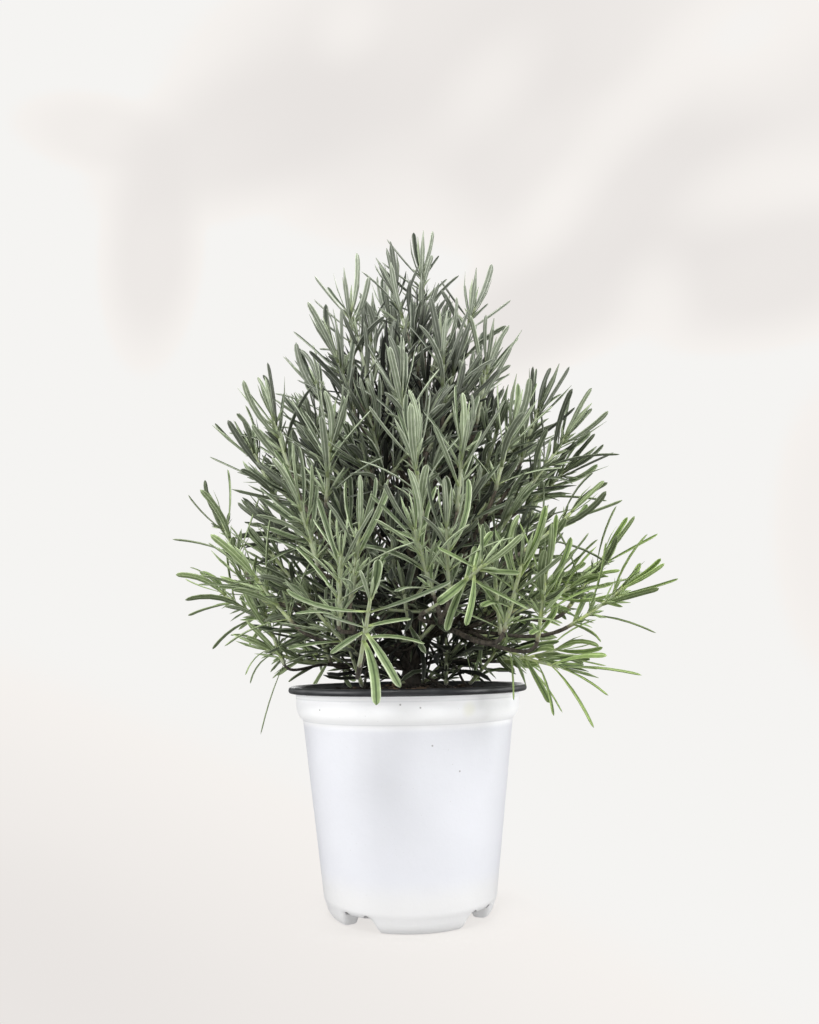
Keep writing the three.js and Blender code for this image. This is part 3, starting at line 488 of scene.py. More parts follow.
def merge_points(piece):
    work = bmesh.new()
    work.from_mesh(piece.data)
    bmesh.ops.remove_doubles(work, verts=work.verts, dist=MERGE_DISTANCE)
    bmesh.ops.recalc_face_normals(work, faces=work.faces)
    work.to_mesh(piece.data)
    work.free()


pot_turns = np.linspace(0, 2 * math.pi, POT_SIDES, endpoint=False)
pot_outlines = np.array([pot_outline(turn) for turn in pot_turns])
pot_columns = pot_outlines.shape[1] + 1
pot_outlines = np.concatenate([pot_outlines, pot_outlines[:, :1]], axis=1)
pot_cos = np.cos(pot_turns - math.pi / 2)[:, None]
pot_sin = np.sin(pot_turns - math.pi / 2)[:, None]
pot_radii = pot_outlines[:, :, 0]
pot_points = np.stack([pot_radii * pot_cos, pot_radii * pot_sin, pot_outlines[:, :, 1]], axis=-1)
pot_points = pot_points.reshape(-1, 3)
pot_faces = grid_faces(POT_SIDES, pot_columns, closed=True)
pot_column = pot_faces[:, 0] % pot_columns
pot_last_white = len(LIP_OUTLINE) + len(WALL_OUTLINE) + len(FOOT_OUTLINE) + len(FLOOR_OUTLINE)
pot_white = (pot_column >= len(LIP_OUTLINE)) & (pot_column < pot_last_white)
pot_piece = mesh_piece(
    "pot_sheet", pot_points, pot_faces, [white_sheet(), black_sheet()], np.where(pot_white, 0, 1))
merge_points(pot_piece)
cut_drains(pot_piece)
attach(pot_piece, "root")
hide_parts("pot")


# Soil
# Dark potting soil, loose and crumbly on top and a little higher round the trunk. The lower part
# is the plain ball of soil that fills the pot.

SOIL_EDGE = 142.5
SOIL_MOUND = 5.5
SOIL_LIMIT = 75.4
SOIL_SIDES = 200
SOIL_RINGS = 44
SOIL_DARK = (0.012, 0.009, 0.007)
SOIL_LIGHT = (0.052, 0.040, 0.030)
SOIL_ROUGHNESS = 0.95
SOIL_GRAINS = (700, 6.0, 0.7, 0.40, 0.68)
SOIL_RELIEF = (1400, 5.0, 0.7, 0.0006, 0.8)
BARK_BITS = (0.13, 0.085, 0.05)
BARK_BIT_TONES = (0.80, 1.0)

# Spacing and height of the lumps, which get lower by this share at the pot's wall.
SOIL_LUMPS = ((20, 1.1), (7, 0.9), (2.8, 0.5))
EDGE_CALM = 0.6

# Radius and height of the ball of soil, from the middle of its underside up to its top edge.
BALL_OUTLINE = [
    (0.0, 9.5), (40.0, 9.5), (49.5, 9.6), (55.0, 11.3), (56.9, 14.0), (70.6, 125.6),
    (71.2, 128.4), (74.6, 136.8), (SOIL_LIMIT, SOIL_EDGE - 1),
]

# Loose crumbs: most are near the least size, and few are larger by up to the extra size.
CRUMB_COUNT = 1500
CRUMB_SEED = 4211
CRUMB_MARGIN = 2.5
CRUMB_LEAST = 0.7
CRUMB_EXTRA = 2.0
CRUMB_STRETCH = 1.2
CRUMB_FLATNESS = (0.6, 0.4)
CRUMB_ROUGHNESS = 0.45
CRUMB_RISE = 0.25
DRAW_FACTOR = 1664525
DRAW_STEP = 1013904223
DRAW_RANGE = 2 ** 32


def seeded_draw(seed):
    """A repeatable draw between 0 and 1."""
    state = seed

    def draw():
        nonlocal state
        state = (state * DRAW_FACTOR + DRAW_STEP) % DRAW_RANGE
        return state / DRAW_RANGE

    return draw


def spread(draw, width):
    """A drawn amount either side of nothing, over a width."""
    return width * (draw() - 0.5)


def soil_level(x, y):
    """Height of the soil's top: a mound, with its lumps on it."""
    reach = math.hypot(x, y) / SOIL_LIMIT
    level = SOIL_EDGE + SOIL_MOUND * (1 - min(reach, 1) ** 2)
    calm = 1 - EDGE_CALM * min(reach, 1) ** 6
    for spacing, height in SOIL_LUMPS:
        level += calm * height * noise.noise(Vector((x / spacing, y / spacing, spacing)))
    return level


def soil_body():
    top = [(SOIL_LIMIT * (1 - i / SOIL_RINGS), None) for i in range(SOIL_RINGS + 1)]
    outline = BALL_OUTLINE + top
    points = []
    for turn in np.linspace(0, 2 * math.pi, SOIL_SIDES, endpoint=False):
        for radius, level in outline:
            x = radius * math.cos(turn)
            y = radius * math.sin(turn)
            points.append((x, y, soil_level(x, y) if level is None else level))
    return np.array(points), grid_faces(SOIL_SIDES, len(outline), closed=True)


ROUND_POINTS = np.array([
    (1, 0, 0), (-1, 0, 0), (0, 1, 0), (0, -1, 0), (0, 0, 1), (0, 0, -1),
], float)
ROUND_FACES = np.array([
    (0, 2, 4), (2, 1, 4), (1, 3, 4), (3, 0, 4), (2, 0, 5), (1, 2, 5), (3, 1, 5), (0, 3, 5),
])


def crumb_shape():
    """A small rough ball: an octahedron with each face split in four and pushed out to round."""
    points = list(ROUND_POINTS)
    faces = []
    made = {}

    def middle(a, b):
        key = (min(a, b), max(a, b))
        if key not in made:
            point = points[a] + points[b]
            points.append(point / np.linalg.norm(point))
            made[key] = len(points) - 1
        return made[key]

    for a, b, c in ROUND_FACES:
        ab, bc, ca = middle(a, b), middle(b, c), middle(c, a)
        faces += [(a, ab, ca), (ab, b, bc), (ca, bc, c), (ab, bc, ca)]
    return np.array(points), np.array(faces)


def crumbs():
    """Loose crumbs and bits of bark on the soil, each partly sunk in it."""
    draw = seeded_draw(CRUMB_SEED)
    shape, faces = crumb_shape()
    all_points = []
    all_faces = []
    looks = []
    for i in range(CRUMB_COUNT):
        reach = (SOIL_LIMIT - CRUMB_MARGIN) * math.sqrt(draw())
        turn = 2 * math.pi * draw()
        x = reach * math.cos(turn)
        y = reach * math.sin(turn)
        size = CRUMB_LEAST + CRUMB_EXTRA * draw() ** 3
        length = 1 + CRUMB_STRETCH * draw() ** 2
        height = CRUMB_FLATNESS[0] + CRUMB_FLATNESS[1] * draw()
        spin = Matrix.Rotation(2 * math.pi * draw(), 3, "Z") @ Matrix.Rotation(draw() - 0.5, 3, "X")
        rough = np.array([1 + spread(draw, CRUMB_ROUGHNESS) for _ in shape])
        stretch = np.array([length, 1.0, height]) * size
        points = (shape * rough[:, None] * stretch) @ np.array(spin).T
        all_points.append(points + (x, y, soil_level(x, y) + CRUMB_RISE * size))
        all_faces.append(faces + i * len(shape))
        looks.append(np.tile([draw(), 0, 0], (len(shape), 1)))
    return np.concatenate(all_points), np.concatenate(all_faces), np.concatenate(looks)


def looked_up(tree, name):
    """The three values that each point of a mesh holds under a name."""
    held = add_node(tree, "ShaderNodeAttribute", attribute_name=name).outputs["Vector"]
    return add_node(tree, "ShaderNodeSeparateXYZ", {0: held}).outputs


def soil_finish():
    """Dark matt peat with lighter grains, and a few crumbs that are bits of bark."""
    material, tree, shader = plain_finish("potting_soil", SOIL_DARK, SOIL_ROUGHNESS)
    tone = looked_up(tree, "crumb_look")["X"]
    earth = mixed(tree, patches(tree, SOIL_GRAINS), SOIL_DARK, SOIL_LIGHT)
    bits = mixed(tree, ranged(tree, tone, *BARK_BIT_TONES), earth, BARK_BITS)
    tree.links.new(bits, shader.inputs["Base Color"])
    bump(tree, shader, SOIL_RELIEF)
    return material


soil_material = soil_finish()
soil_points, soil_faces = soil_body()
soil_piece = mesh_piece("soil_ball", soil_points, soil_faces, [soil_material])
merge_points(soil_piece)
crumb_points, crumb_faces, crumb_looks = crumbs()
crumb_piece = mesh_piece(
    "soil_crumbs", crumb_points, crumb_faces, [soil_material], attributes={"crumb_look": crumb_looks})
for piece in (soil_piece, crumb_piece):
    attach(piece, "root")
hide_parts("soil")


# Woody crown
# The plant's brown-grey wood: a short trunk in the soil, and limbs and twigs that end where the
# green shoots go on. It grows by a rule towards the shoots, so their places come first.

# Where the trunk stands, and the levels of its foot in the soil, its bend and its first fork.
TRUNK = np.array([2.0, 6.0, 0.0])
TRUNK_LEVELS = (118.0, 146.0, 156.0)

# What a twig costs by its forks and turns, the steps that it grows in, and what it keeps clear of.
TWIG_RADIUS = 1.3
LOAD_POWER = 2.3
FORK_COST = 0.8
TURN_COST = 14
LAST_TURN_SHARE = 0.5
TWIG_HANDLE = 0.35
TWIG_STEP = 28
TWIG_STEPS = 9
TWIG_CLEARANCE = 4.2
TWIG_LEAST_STEPS = 2
LIP_RADIUS = 82.5
POT_CLEARANCE = 4
STEM_SAG = 0.08
LOW_HEIGHT = 235
LOW_SPAN = 80
SEED = 1117
SEED_STEP = 97
UP = np.array([0.0, 0.0, 1.0])
HEADING_STEP = 0.0001
NEARLY_NOTHING = 1e-9

# The shoots that show in front and along the outline, and at the end two that fill the back: start
# of the green stem, then its growing tip.
SEEN_SHOOTS = [
    ((16, 0, 405), (15, 0, 455)),
    ((-5, 35, 395), (-10, 40, 438)),
    ((-36, -18, 375), (-38, -15, 419)),
    ((42, -12, 374), (51, -6, 420)),
    ((3, -68, 303), (-3, -75, 345)),
    ((10, -88, 262), (6, -95, 298)),
    ((-50, -70, 275), (-47, -76, 312)),
    ((-80, -28, 300), (-92, -28, 338)),
    ((-94, -14, 288), (-109, -12, 318)),
    ((-118, 0, 238), (-132, -2, 268)),
    ((-60, -70, 242), (-68, -76, 270)),
    ((-32, -96, 215), (-27, -105, 246)),
    ((-40, -100, 200), (-38, -113, 230)),
    ((-26, -118, 173), (-20, -135, 203)),
    ((26, -88, 218), (25, -100, 248)),
    ((14, -92, 216), (5, -106, 246)),
    ((12, -82, 197), (46, -114, 223)),
    ((60, -54, 278), (72, -58, 320)),
    ((52, -28, 335), (60, -28, 373)),
    ((84, -12, 308), (98, -10, 346)),
    ((92, -25, 292), (115, -25, 322)),
    ((92, 5, 280), (118, 0, 302)),
    ((84, -45, 242), (112, -46, 264)),
    ((116, -22, 208), (136, -28, 236)),
    ((112, -50, 192), (140, -60, 212)),
    ((58, -50, 176), (99, -70, 161)),
    ((82, -78, 186), (86, -90, 220)),
    ((-68, -8, 168), (-98, -14, 176)),
    ((-76, -46, 194), (-102, -50, 227)),
    ((-108, 22, 200), (-141, 34, 221)),
    ((62, -84, 192), (70, -98, 224)),
    ((34, -80, 270), (37, -87, 303)),
    ((27, -42, 340), (28, -45, 379)),
    ((-16, 84, 196), (-20, 120, 220)),
    ((34, 94, 232), (42, 126, 256)),
]

# Seven of them whose leaves can be told apart: the three fans at the top, the two shoots in front of
# the dark middle, and the lowest one on each side. Each has its stem's turn, and for each pair its
# distance below the tip and its two leaves, as turn off the stem's face, angles off the stem at
# root and tip, length and width.
APEX_SHOOT = 0
LEFT_FAN_SHOOT = 2
RIGHT_FAN_SHOOT = 3
FRONT_SHOOT = 13
STAR_SHOOT = 16
LOW_RIGHT_SHOOT = 25
LOW_LEFT_SHOOT = 27
SEEN_TURNS = {
    APEX_SHOOT: 45,
    LEFT_FAN_SHOOT: 101,
    RIGHT_FAN_SHOOT: 191,
    FRONT_SHOOT: 55,
    STAR_SHOOT: 65,
    LOW_RIGHT_SHOOT: 45,
    LOW_LEFT_SHOOT: 300,
}
SEEN_LEAVES = {
    APEX_SHOOT: [
        (1.5, ((0, 28, 16, 31, 4.2), (0, 14, 3, 35, 4.4))),
        (7, ((0, 40, 30, 32, 3.8), (-45, 38, 31, 41, 4.2))),
        (15, ((0, 26, 20, 26, 4), (45, 52, 44, 37, 4.4))),
        (25, ((0, 44, 42, 38, 4.4), (-45, 46, 40, 42, 4.6))),
        (37, ((0, 48, 64, 42, 4.4), (0, 48, 64, 42, 4.4))),
    ],
    LEFT_FAN_SHOOT: [
        (1.5, ((0, 18, 7, 44, 4.4), (0, 38, 32, 37, 4.2))),
        (7, ((0, 34, 22, 41, 4.6), (-45, 38, 26, 43, 4.4))),
        (15, ((0, 36, 26, 39, 4.6), (45, 46, 38, 36, 4.2))),
        (25, ((0, 42, 46, 42, 4.6), (-45, 48, 42, 35, 4.2))),
        (37, ((0, 50, 66, 40, 4.4), (0, 50, 66, 40, 4.4))),
    ],
    RIGHT_FAN_SHOOT: [
        (1.5, ((0, 22, 10, 40, 4.8), (0, 27, 14, 30, 4))),
        (7, ((0, 36, 26, 27, 4.2), (-45, 44, 36, 38, 4.6))),
        (15, ((45, 42, 36, 40, 4.8), (0, 38, 34, 41, 4.4))),
        (26, ((0, 44, 52, 42, 4.4), (0, 44, 52, 42, 4.4))),
        (38, ((0, 50, 70, 40, 4.4), (0, 50, 70, 40, 4.4))),
    ],
    FRONT_SHOOT: [
        (1.5, ((0, 3, 0, 25, 5.4), (-45, 24, 18, 22, 5.2))),
        (8.5, ((35, 92, 38, 52, 5), (35, 66, 46, 49, 4.8))),
        (18, ((-35, 80, 80, 30, 5), (-35, 62, 50, 36, 5))),
        (21.5, ((50, 105, 110, 23, 5.4), (-30, 105, 115, 38, 6.6))),
        (26, ((-35, 95, 95, 46, 4.8), (35, 105, 118, 42, 5.8))),
    ],
    STAR_SHOOT: [
        (1.5, ((25, 50, 40, 24, 4.4), (0, 4, 0, 34, 4.6))),
        (5, ((0, 85, 80, 32, 4.8), (0, 62, 50, 24, 5))),
        (9, ((0, 70, 60, 34, 4.6), (0, 112, 125, 32, 4.8))),
        (13, ((20, 108, 100, 32, 5.4), (0, 72, 78, 40, 4.6))),
        (17, ((0, 80, 80, 34, 4.6), (-15, 112, 118, 34, 4.8))),
    ],
    LOW_RIGHT_SHOOT: [
        (1.5, ((45, 10, 34, 48, 5.8), (45, 8, 2, 32, 5.2))),
        (9, ((-20, 35, 50, 40, 5.4), (-50, 28, 40, 45, 6.4))),
        (19, ((-10, 45, 70, 38, 5.2), (20, 40, 60, 36, 5.2))),
        (28, ((0, 50, 72, 38, 4.8), (0, 45, 60, 34, 4.8))),
        (38, ((0, 55, 80, 36, 4.4), (0, 50, 65, 34, 4.4))),
    ],
    LOW_LEFT_SHOOT: [
        (1.5, ((0, 45, 85, 24, 3), (0, 20, 10, 28, 3.4))),
        (8, ((0, 35, 45, 30, 3.8), (50, 30, 95, 28, 3.2))),
        (16, ((-30, 80, 88, 54, 3), (0, 40, 50, 32, 4))),
        (27, ((0, 45, 60, 32, 4), (50, 20, 40, 24, 3.8))),
        (38, ((0, 40, 50, 30, 4.2), (0, 45, 60, 32, 4.2))),
    ],
}

# Outline of the growing tips round the axis, as height and radius, for the shoots placed by rule.
OUTLINE = [
    (172, 106), (190, 116), (210, 126), (245, 122), (280, 112),
    (318, 98), (355, 80), (395, 50), (430, 22),
]
RULE_TRIES = 110
SHOOT_SPACING = 47.5
SHOOT_LENGTH = 45
GOLDEN_TURN = math.pi * (3 - math.sqrt(5))
LEAN_TOP = 8
LEAN_BOTTOM = 80


def share_of(value, span):
    """A length as a share of a span, from 0 to 1."""
    return min(max(value / span, 0), 1)


def unit(way):
    return way / np.linalg.norm(way)


def angle_between(a, b):
    return math.acos(np.clip(np.dot(a, b) / (np.linalg.norm(a) * np.linalg.norm(b)), -1, 1))


def curve_point(corners, share):
    """The point at a share of the way along the smooth curve that some corners draw."""
    points = list(corners)
    while len(points) > 1:
        points = [a + (b - a) * share for a, b in zip(points, points[1:])]
    return points[0]


def curve_heading(corners, share):
    after = curve_point(corners, min(share + HEADING_STEP, 1))
    return unit(after - curve_point(corners, max(share - HEADING_STEP, 0)))


def shoot_from(seen_start, tip, number, least_length=SHOOT_LENGTH, seed=SEED):
    """A green shoot's stem, made longer at its start where it is shorter than the least length."""
    seen_start = np.array(seen_start, float)
    tip = np.array(tip, float)
    reach = tip - seen_start
    length = max(np.linalg.norm(reach), least_length)
    start = tip - unit(reach) * length
    lean = math.hypot(*reach[:2]) / np.linalg.norm(reach)
    middle = (start + tip) / 2 - UP * STEM_SAG * length * lean
    draw = seeded_draw(seed + SEED_STEP * number)
    drawn_phase = 2 * math.pi * draw()
    return {
        "number": number,
        "start": start,
        "tip": tip,
        "corners": (start, middle, tip),
        "low": share_of(LOW_HEIGHT - tip[2], LOW_SPAN),
        "across": unit(np.cross(UP, reach)),
        "draw": draw,
        "phase": math.radians(SEEN_TURNS[number]) if number in SEEN_TURNS else drawn_phase,
        "length": length,
        "leaves": [],
    }


def outline_radius(level):
    """How far from the axis the growing tips stand at a height."""
    levels, radii = zip(*OUTLINE)
    i = max(0, min(int(np.searchsorted(levels, level)) - 1, len(OUTLINE) - 2))
    return radii[i] + (radii[i + 1] - radii[i]) * (level - levels[i]) / (levels[i + 1] - levels[i])


def lean_at(level):
    """How far a shoot leans out from upright: a little at the top, nearly level low down."""
    share = (level - OUTLINE[0][0]) / (OUTLINE[-1][0] - OUTLINE[0][0])
    return math.radians(LEAN_TOP + (LEAN_BOTTOM - LEAN_TOP) * (1 - share))


def place_shoots():
    """The shoots that were seen come first, and the rule fills the sides and the back between them."""
    shoots = [shoot_from(start, tip, i) for i, (start, tip) in enumerate(SEEN_SHOOTS)]
    for i in range(RULE_TRIES):
        level = OUTLINE[0][0] + (OUTLINE[-1][0] - OUTLINE[0][0]) * (i + 0.5) / RULE_TRIES
        out = np.array([math.cos(i * GOLDEN_TURN), math.sin(i * GOLDEN_TURN), 0])
        tip = out * outline_radius(level) + UP * level
        lean = lean_at(level)
        start = tip - (out * math.sin(lean) + UP * math.cos(lean)) * SHOOT_LENGTH
        if all(np.linalg.norm(other["tip"] - tip) > SHOOT_SPACING for other in shoots):
            shoots.append(shoot_from(start, tip, len(shoots)))
    return shoots


def dots(a, b):
    return (a * b).sum(-1)


def stretch_distances(a, b, starts, ends):
    """Shortest distances between straight stretches, each of the first ones with each of the second."""
    u = (b - a)[..., None, :]
    v = ends - starts
    w = a[..., None, :] - starts
    uu = dots(u, u)
    vv = dots(v, v)
    uv = dots(u, v)
    uw = dots(u, w)
    vw = dots(v, w)
    spread = uu * vv - uv * uv
    s = np.clip((uv * vw - vv * uw) / np.maximum(spread, NEARLY_NOTHING), 0, 1)
    s = np.where(spread > NEARLY_NOTHING, s, 0)
    t = np.clip((uv * s + vw) / vv, 0, 1)
    s = np.clip((uv * t - uw) / uu, 0, 1)
    apart = w + s[..., None] * u - t[..., None] * v
    return np.sqrt(dots(apart, apart))


def inside_pot(point):
    near = math.hypot(point[0], point[1]) < LIP_RADIUS + POT_CLEARANCE
    return near and point[2] < POT_HEIGHT + POT_CLEARANCE


def twig_to(shoot, fork):
    """A curved way from a fork to the foot of a green shoot, which it meets in its own heading."""
    direct = shoot["start"] - fork["at"]
    span = np.linalg.norm(direct)
    first = unit(unit(direct) + fork["heading"])
    last = curve_heading(shoot["corners"], 0)
    corners = (
        fork["at"],
        fork["at"] + first * span * TWIG_HANDLE,
        shoot["start"] - last * span * TWIG_HANDLE,
        shoot["start"],
    )
    steps = min(max(math.floor(span / TWIG_STEP + 0.5), TWIG_LEAST_STEPS), TWIG_STEPS)
    return corners, [curve_point(corners, j / steps) for j in range(steps + 1)]


def twig_is_clear(path, shoot, shoots):
    if any(inside_pot(point) for point in path):
        return False
    others = [other for other in shoots if other is not shoot]
    starts = np.array([other["start"] for other in others])
    tips = np.array([other["tip"] for other in others])
    path = np.array(path)
    return stretch_distances(path[:-1], path[1:], starts, tips).min() > TWIG_CLEARANCE


def forks_for(shoot, points):
    """The forks in the order of what a twig would cost: its length, the way on down, and its turns."""
    choices = []
    for i, point in enumerate(points):
        if not point["forks"]:
            continue
        direct = shoot["start"] - point["at"]
        last = angle_between(direct, curve_heading(shoot["corners"], 0))
        turn = angle_between(direct, point["heading"]) + LAST_TURN_SHARE * last
        cost = np.linalg.norm(direct) + FORK_COST * point["way"] + TURN_COST * turn * turn
        choices.append((cost, i))
    return [i for _, i in sorted(choices)]


def grow_wood(shoots):
    """The wood as a tree of points, the highest shoot first, each twig from its cheapest clear fork."""
    points = []
    for i, level in enumerate(TRUNK_LEVELS):
        points.append({
            "at": TRUNK + UP * level, "heading": UP, "before": i - 1, "way": level - TRUNK_LEVELS[0],
            "load": 0, "forks": i == 2,
        })
    twigs = [([0, 1, 2], (points[0]["at"], points[1]["at"], points[2]["at"]))]
    for shoot in sorted(shoots, key=lambda one: -one["start"][2]):
        for i in forks_for(shoot, points):
            corners, path = twig_to(shoot, points[i])
            if twig_is_clear(path, shoot, shoots):
                break
        else:
            raise ValueError("no clear way to shoot %d" % shoot["number"])
        twig = [i]
        steps = len(path) - 1
        for j in range(1, steps + 1):
            before = twig[-1]
            points.append({
                "at": path[j],
                "heading": curve_heading(corners, j / steps),
                "before": before,
                "way": points[before]["way"] + np.linalg.norm(path[j] - points[before]["at"]),
                "load": 0,
                "forks": j < steps,
            })
            twig.append(len(points) - 1)
        i = len(points) - 1
        while i >= 0:
            points[i]["load"] += 1
            i = points[i]["before"]
        twigs.append((twig, corners))
    for point in points:
        point["radius"] = TWIG_RADIUS * point["load"] ** (1 / LOAD_POWER)
    return points, twigs


def ring_skin_faces(skins, rings, sides):
    """Faces over many skins at once, each with the same rings, and with both of its ends closed."""
    row = np.arange(rings - 1)[:, None] * sides
    corner = np.arange(sides)[None, :]
    after = (corner + 1) % sides
    body = np.stack([row + corner, row + after, row + sides + after, row + sides + corner], -1)
    first, last = [], []
    for i in range(sides // 2 - 1):
        quad = (i, i + 1, sides - 2 - i, sides - 1 - i)
        first.append(quad[::-1])
        last.append(tuple((rings - 1) * sides + j for j in quad))
    one = np.concatenate([body.reshape(-1, 4), first, last])
    return (one[None] + (np.arange(skins) * rings * sides)[:, None, None]).reshape(-1, 4)


def framed(path, across=(1.0, 0.0, 0.0)):
    """At each point of a path, two ways that are square to it and don't twist."""
    headings = np.gradient(path, axis=0)
    headings /= np.linalg.norm(headings, axis=1, keepdims=True)
    across = np.array(across, float)
    firsts = []
    for heading in headings:
        across = unit(across - heading * (across @ heading))
        firsts.append(across)
    firsts = np.array(firsts)
    return headings, firsts, np.cross(headings, firsts)


BARK_SIDES = 10
BARK_STEP = 3.0
BARK_LEAST_RINGS = 5
BARK_DARK = (0.036, 0.029, 0.021)
BARK_LIGHT = (0.150, 0.124, 0.092)
BARK_GREY = (0.19, 0.18, 0.15)
BARK_DAMP = (0.014, 0.012, 0.009)
BARK_ROUGHNESS = 0.85
BARK_FLAKES = (420, 6.0, 0.65, 0.36, 0.64)
FLAKE_STRETCH = (1, 1, 0.35)
GREY_PATCHES = (130, 3.0, 0.55, 0.5, 0.8)
BARK_RELIEF = (700, 6.0, 0.7, 0.0006, 0.9)
RELIEF_STRETCH = (1, 1, 0.3)

# The bark's relief as a share of the radius, and for its large and fine ridges where they are read
# off the limb, their spacing and their height. A twig is thicker by a share near the fork it leaves.
RIDGE_SHARE = 0.16
RIDGES = ((6, 5.0, 1.0), (9, 1.8, 0.5))
FORK_SWELL = 0.25
FORK_SWELL_REACH = 5.0
DAMP_STRENGTH = 0.7
DAMP_LEVELS = (0.160, 0.205)


def bark_tube(path, radii):
    """Rings round a limb, with the ridges and hollows of its bark."""
    headings, firsts, seconds = framed(path)
    rings = []
    for at, first, second, radius in zip(path, firsts, seconds, radii):
        for j in range(BARK_SIDES):
            turn = 2 * math.pi * j / BARK_SIDES
            out = first * math.cos(turn) + second * math.sin(turn)
            rough = 0
            for off, spacing, height in RIDGES:
                rough += height * noise.noise(Vector((at + out * off) / spacing))
            rings.append(at + out * radius * (1 + RIDGE_SHARE * rough))
    return np.array(rings)


def bark_mesh(points, twigs):
    all_points = []
    all_faces = []
    count = 0
    for indices, corners in twigs:
        radii = np.array([points[i]["radius"] for i in indices])
        if indices[0] > 0:
            radii[0] = radii[1]
        span = np.linalg.norm(points[indices[-1]]["at"] - points[indices[0]]["at"])
        rings = max(BARK_LEAST_RINGS, int(span / BARK_STEP))
        shares = np.linspace(0, 1, rings)
        path = np.array([curve_point(corners, share) for share in shares])
        even = np.linspace(0, 1, len(indices))
        swell = 1 + FORK_SWELL * np.exp(-(shares * span / FORK_SWELL_REACH) ** 2)
        all_points.append(bark_tube(path, np.interp(shares, even, radii) * swell))
        all_faces.append(ring_skin_faces(1, rings, BARK_SIDES) + count)
        count += rings * BARK_SIDES
    return np.concatenate(all_points), np.concatenate(all_faces)


def bark_finish():
    """Flaking bark, brown with grey patches, and dark with damp near the soil."""
    material, tree, shader = plain_finish("bark", BARK_LIGHT, BARK_ROUGHNESS)
    flakes = patches(tree, BARK_FLAKES, stretch=FLAKE_STRETCH)
    base = mixed(tree, flakes, BARK_DARK, BARK_LIGHT)
    dry = mixed(tree, patches(tree, GREY_PATCHES), base, BARK_GREY)
    place = add_node(tree, "ShaderNodeTexCoord").outputs["Object"]
    level = add_node(tree, "ShaderNodeSeparateXYZ", {0: place}).outputs["Z"]
    damp = mixed(tree, DAMP_STRENGTH, dry, BARK_DAMP)
    bark_colour = mixed(tree, ranged(tree, level, *DAMP_LEVELS), damp, dry)
    tree.links.new(bark_colour, shader.inputs["Base Color"])
    bump(tree, shader, BARK_RELIEF, RELIEF_STRETCH)
    return material


shoots = place_shoots()
wood_points, wood_twigs = grow_wood(shoots)
bark = bark_finish()
crown_points, crown_faces = bark_mesh(wood_points, wood_twigs)
crown_piece = mesh_piece("bark_crown", crown_points, crown_faces, [bark])
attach(crown_piece, "root")
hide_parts("woody_crown")


# Leafy shoots
# Green square stems with narrow felted leaves in opposite pairs, each pair across the last. A leaf
# is flat above with a groove along its rib, pale and keeled below, and its margins are rolled under.

STEM_RADIUS = 1.35
STEM_MARGIN = 1
ROOT_DEPTH_SHARE = 0.7
LEAF_WIDTH = 4.4
TOP_LEAF_WIDTH = 3.3
LEAF_STATIONS = np.array([0, 0.3, 0.8, 1])
STATION_MIDDLES = (LEAF_STATIONS[1:] + LEAF_STATIONS[:-1]) / 2
STATION_STEPS = np.diff(LEAF_STATIONS)
LEAF_SAG = 0.12
LOW_SAG = 0.55
FAN_CLOSING = 0.3
FAN_LOW = 250
FAN_HIGH = 370
TURN_SPREAD = 20
OPENING_SPREAD = 12
LENGTH_SPREAD = 0.24
WIDTH_SPREAD = 0.16
LEAF_CLEARANCE = 0.5
SIBLING_CLEARANCE = 3
SIDE_REACH = 180
DEPTH_REACH = 166
TOP_REACH = 490

# Distance below the growing tip, leaf length, and the leaf's angle off the stem at its root and tip.
LEAF_PAIRS = [
    (1.5, 34, 20, 3), (8, 42, 29, 15), (17, 46, 36, 36), (28, 47, 42, 56), (40, 43, 50, 74),
]

# Turn about the stem, opening and share of its length that a leaf tries, in this order.
LEAF_TRIES = [
    (0, 0, 1), (14, 0, 1), (-14, 0, 1), (0, -9, 1), (0, 9, 1), (26, 0, 1), (-26, 0, 1),
    (0, 0, 0.92), (14, -9, 0.95), (-14, -9, 0.95), (14, 9, 0.95), (-14, 9, 0.95),
    (0, 0, 0.84), (30, 9, 0.9), (-30, 9, 0.9), (30, -9, 0.9), (-30, -9, 0.9),
    (0, 16, 0.8), (0, -16, 0.8), (0, 0, 0.7), (40, 0, 0.75), (-40, 0, 0.75), (0, 0, 0.58),
]


class Crowd:
    """All stretches of wood, stem and leaf that a new leaf has to clear."""

    WIDEST = 10.5
    ROOM = 20000

    def __init__(self):
        self.count = 0
        self.starts = np.zeros((self.ROOM, 3))
        self.ends = np.zeros((self.ROOM, 3))
        self.radii = np.zeros(self.ROOM)
        self.owners = np.zeros(self.ROOM, int)
        self.outer = np.zeros(self.ROOM, bool)

    def add(self, start, end, radius, owner, outer=False):
        index = self.count
        self.count += 1
        self.starts[index] = start
        self.ends[index] = end
        self.radii[index] = radius
        self.owners[index] = owner
        self.outer[index] = outer

    def near(self, low, high):
        """The stretches whose boxes come within the widest clearance of a box."""
        starts = self.starts[: self.count]
        ends = self.ends[: self.count]
        above = np.maximum(starts, ends) >= low - self.WIDEST
        below = np.minimum(starts, ends) <= high + self.WIDEST
        return np.flatnonzero((above & below).all(1))


def leaf_headings(axis, out, side, root_angle, tip_angle, sag, bend, shares):
    """A leaf's heading: it leaves the stem at one angle, bends out to another, and sags on the way."""
    angles = np.radians(root_angle + (tip_angle - root_angle) * shares)[..., None]
    headings = axis * np.cos(angles) + out * np.sin(angles) - UP * (sag * shares)[..., None]
    if bend is not None:
        headings = headings + side * (bend * (1 - 2 * shares))[..., None]
    return headings / np.sqrt(dots(headings, headings))[..., None]


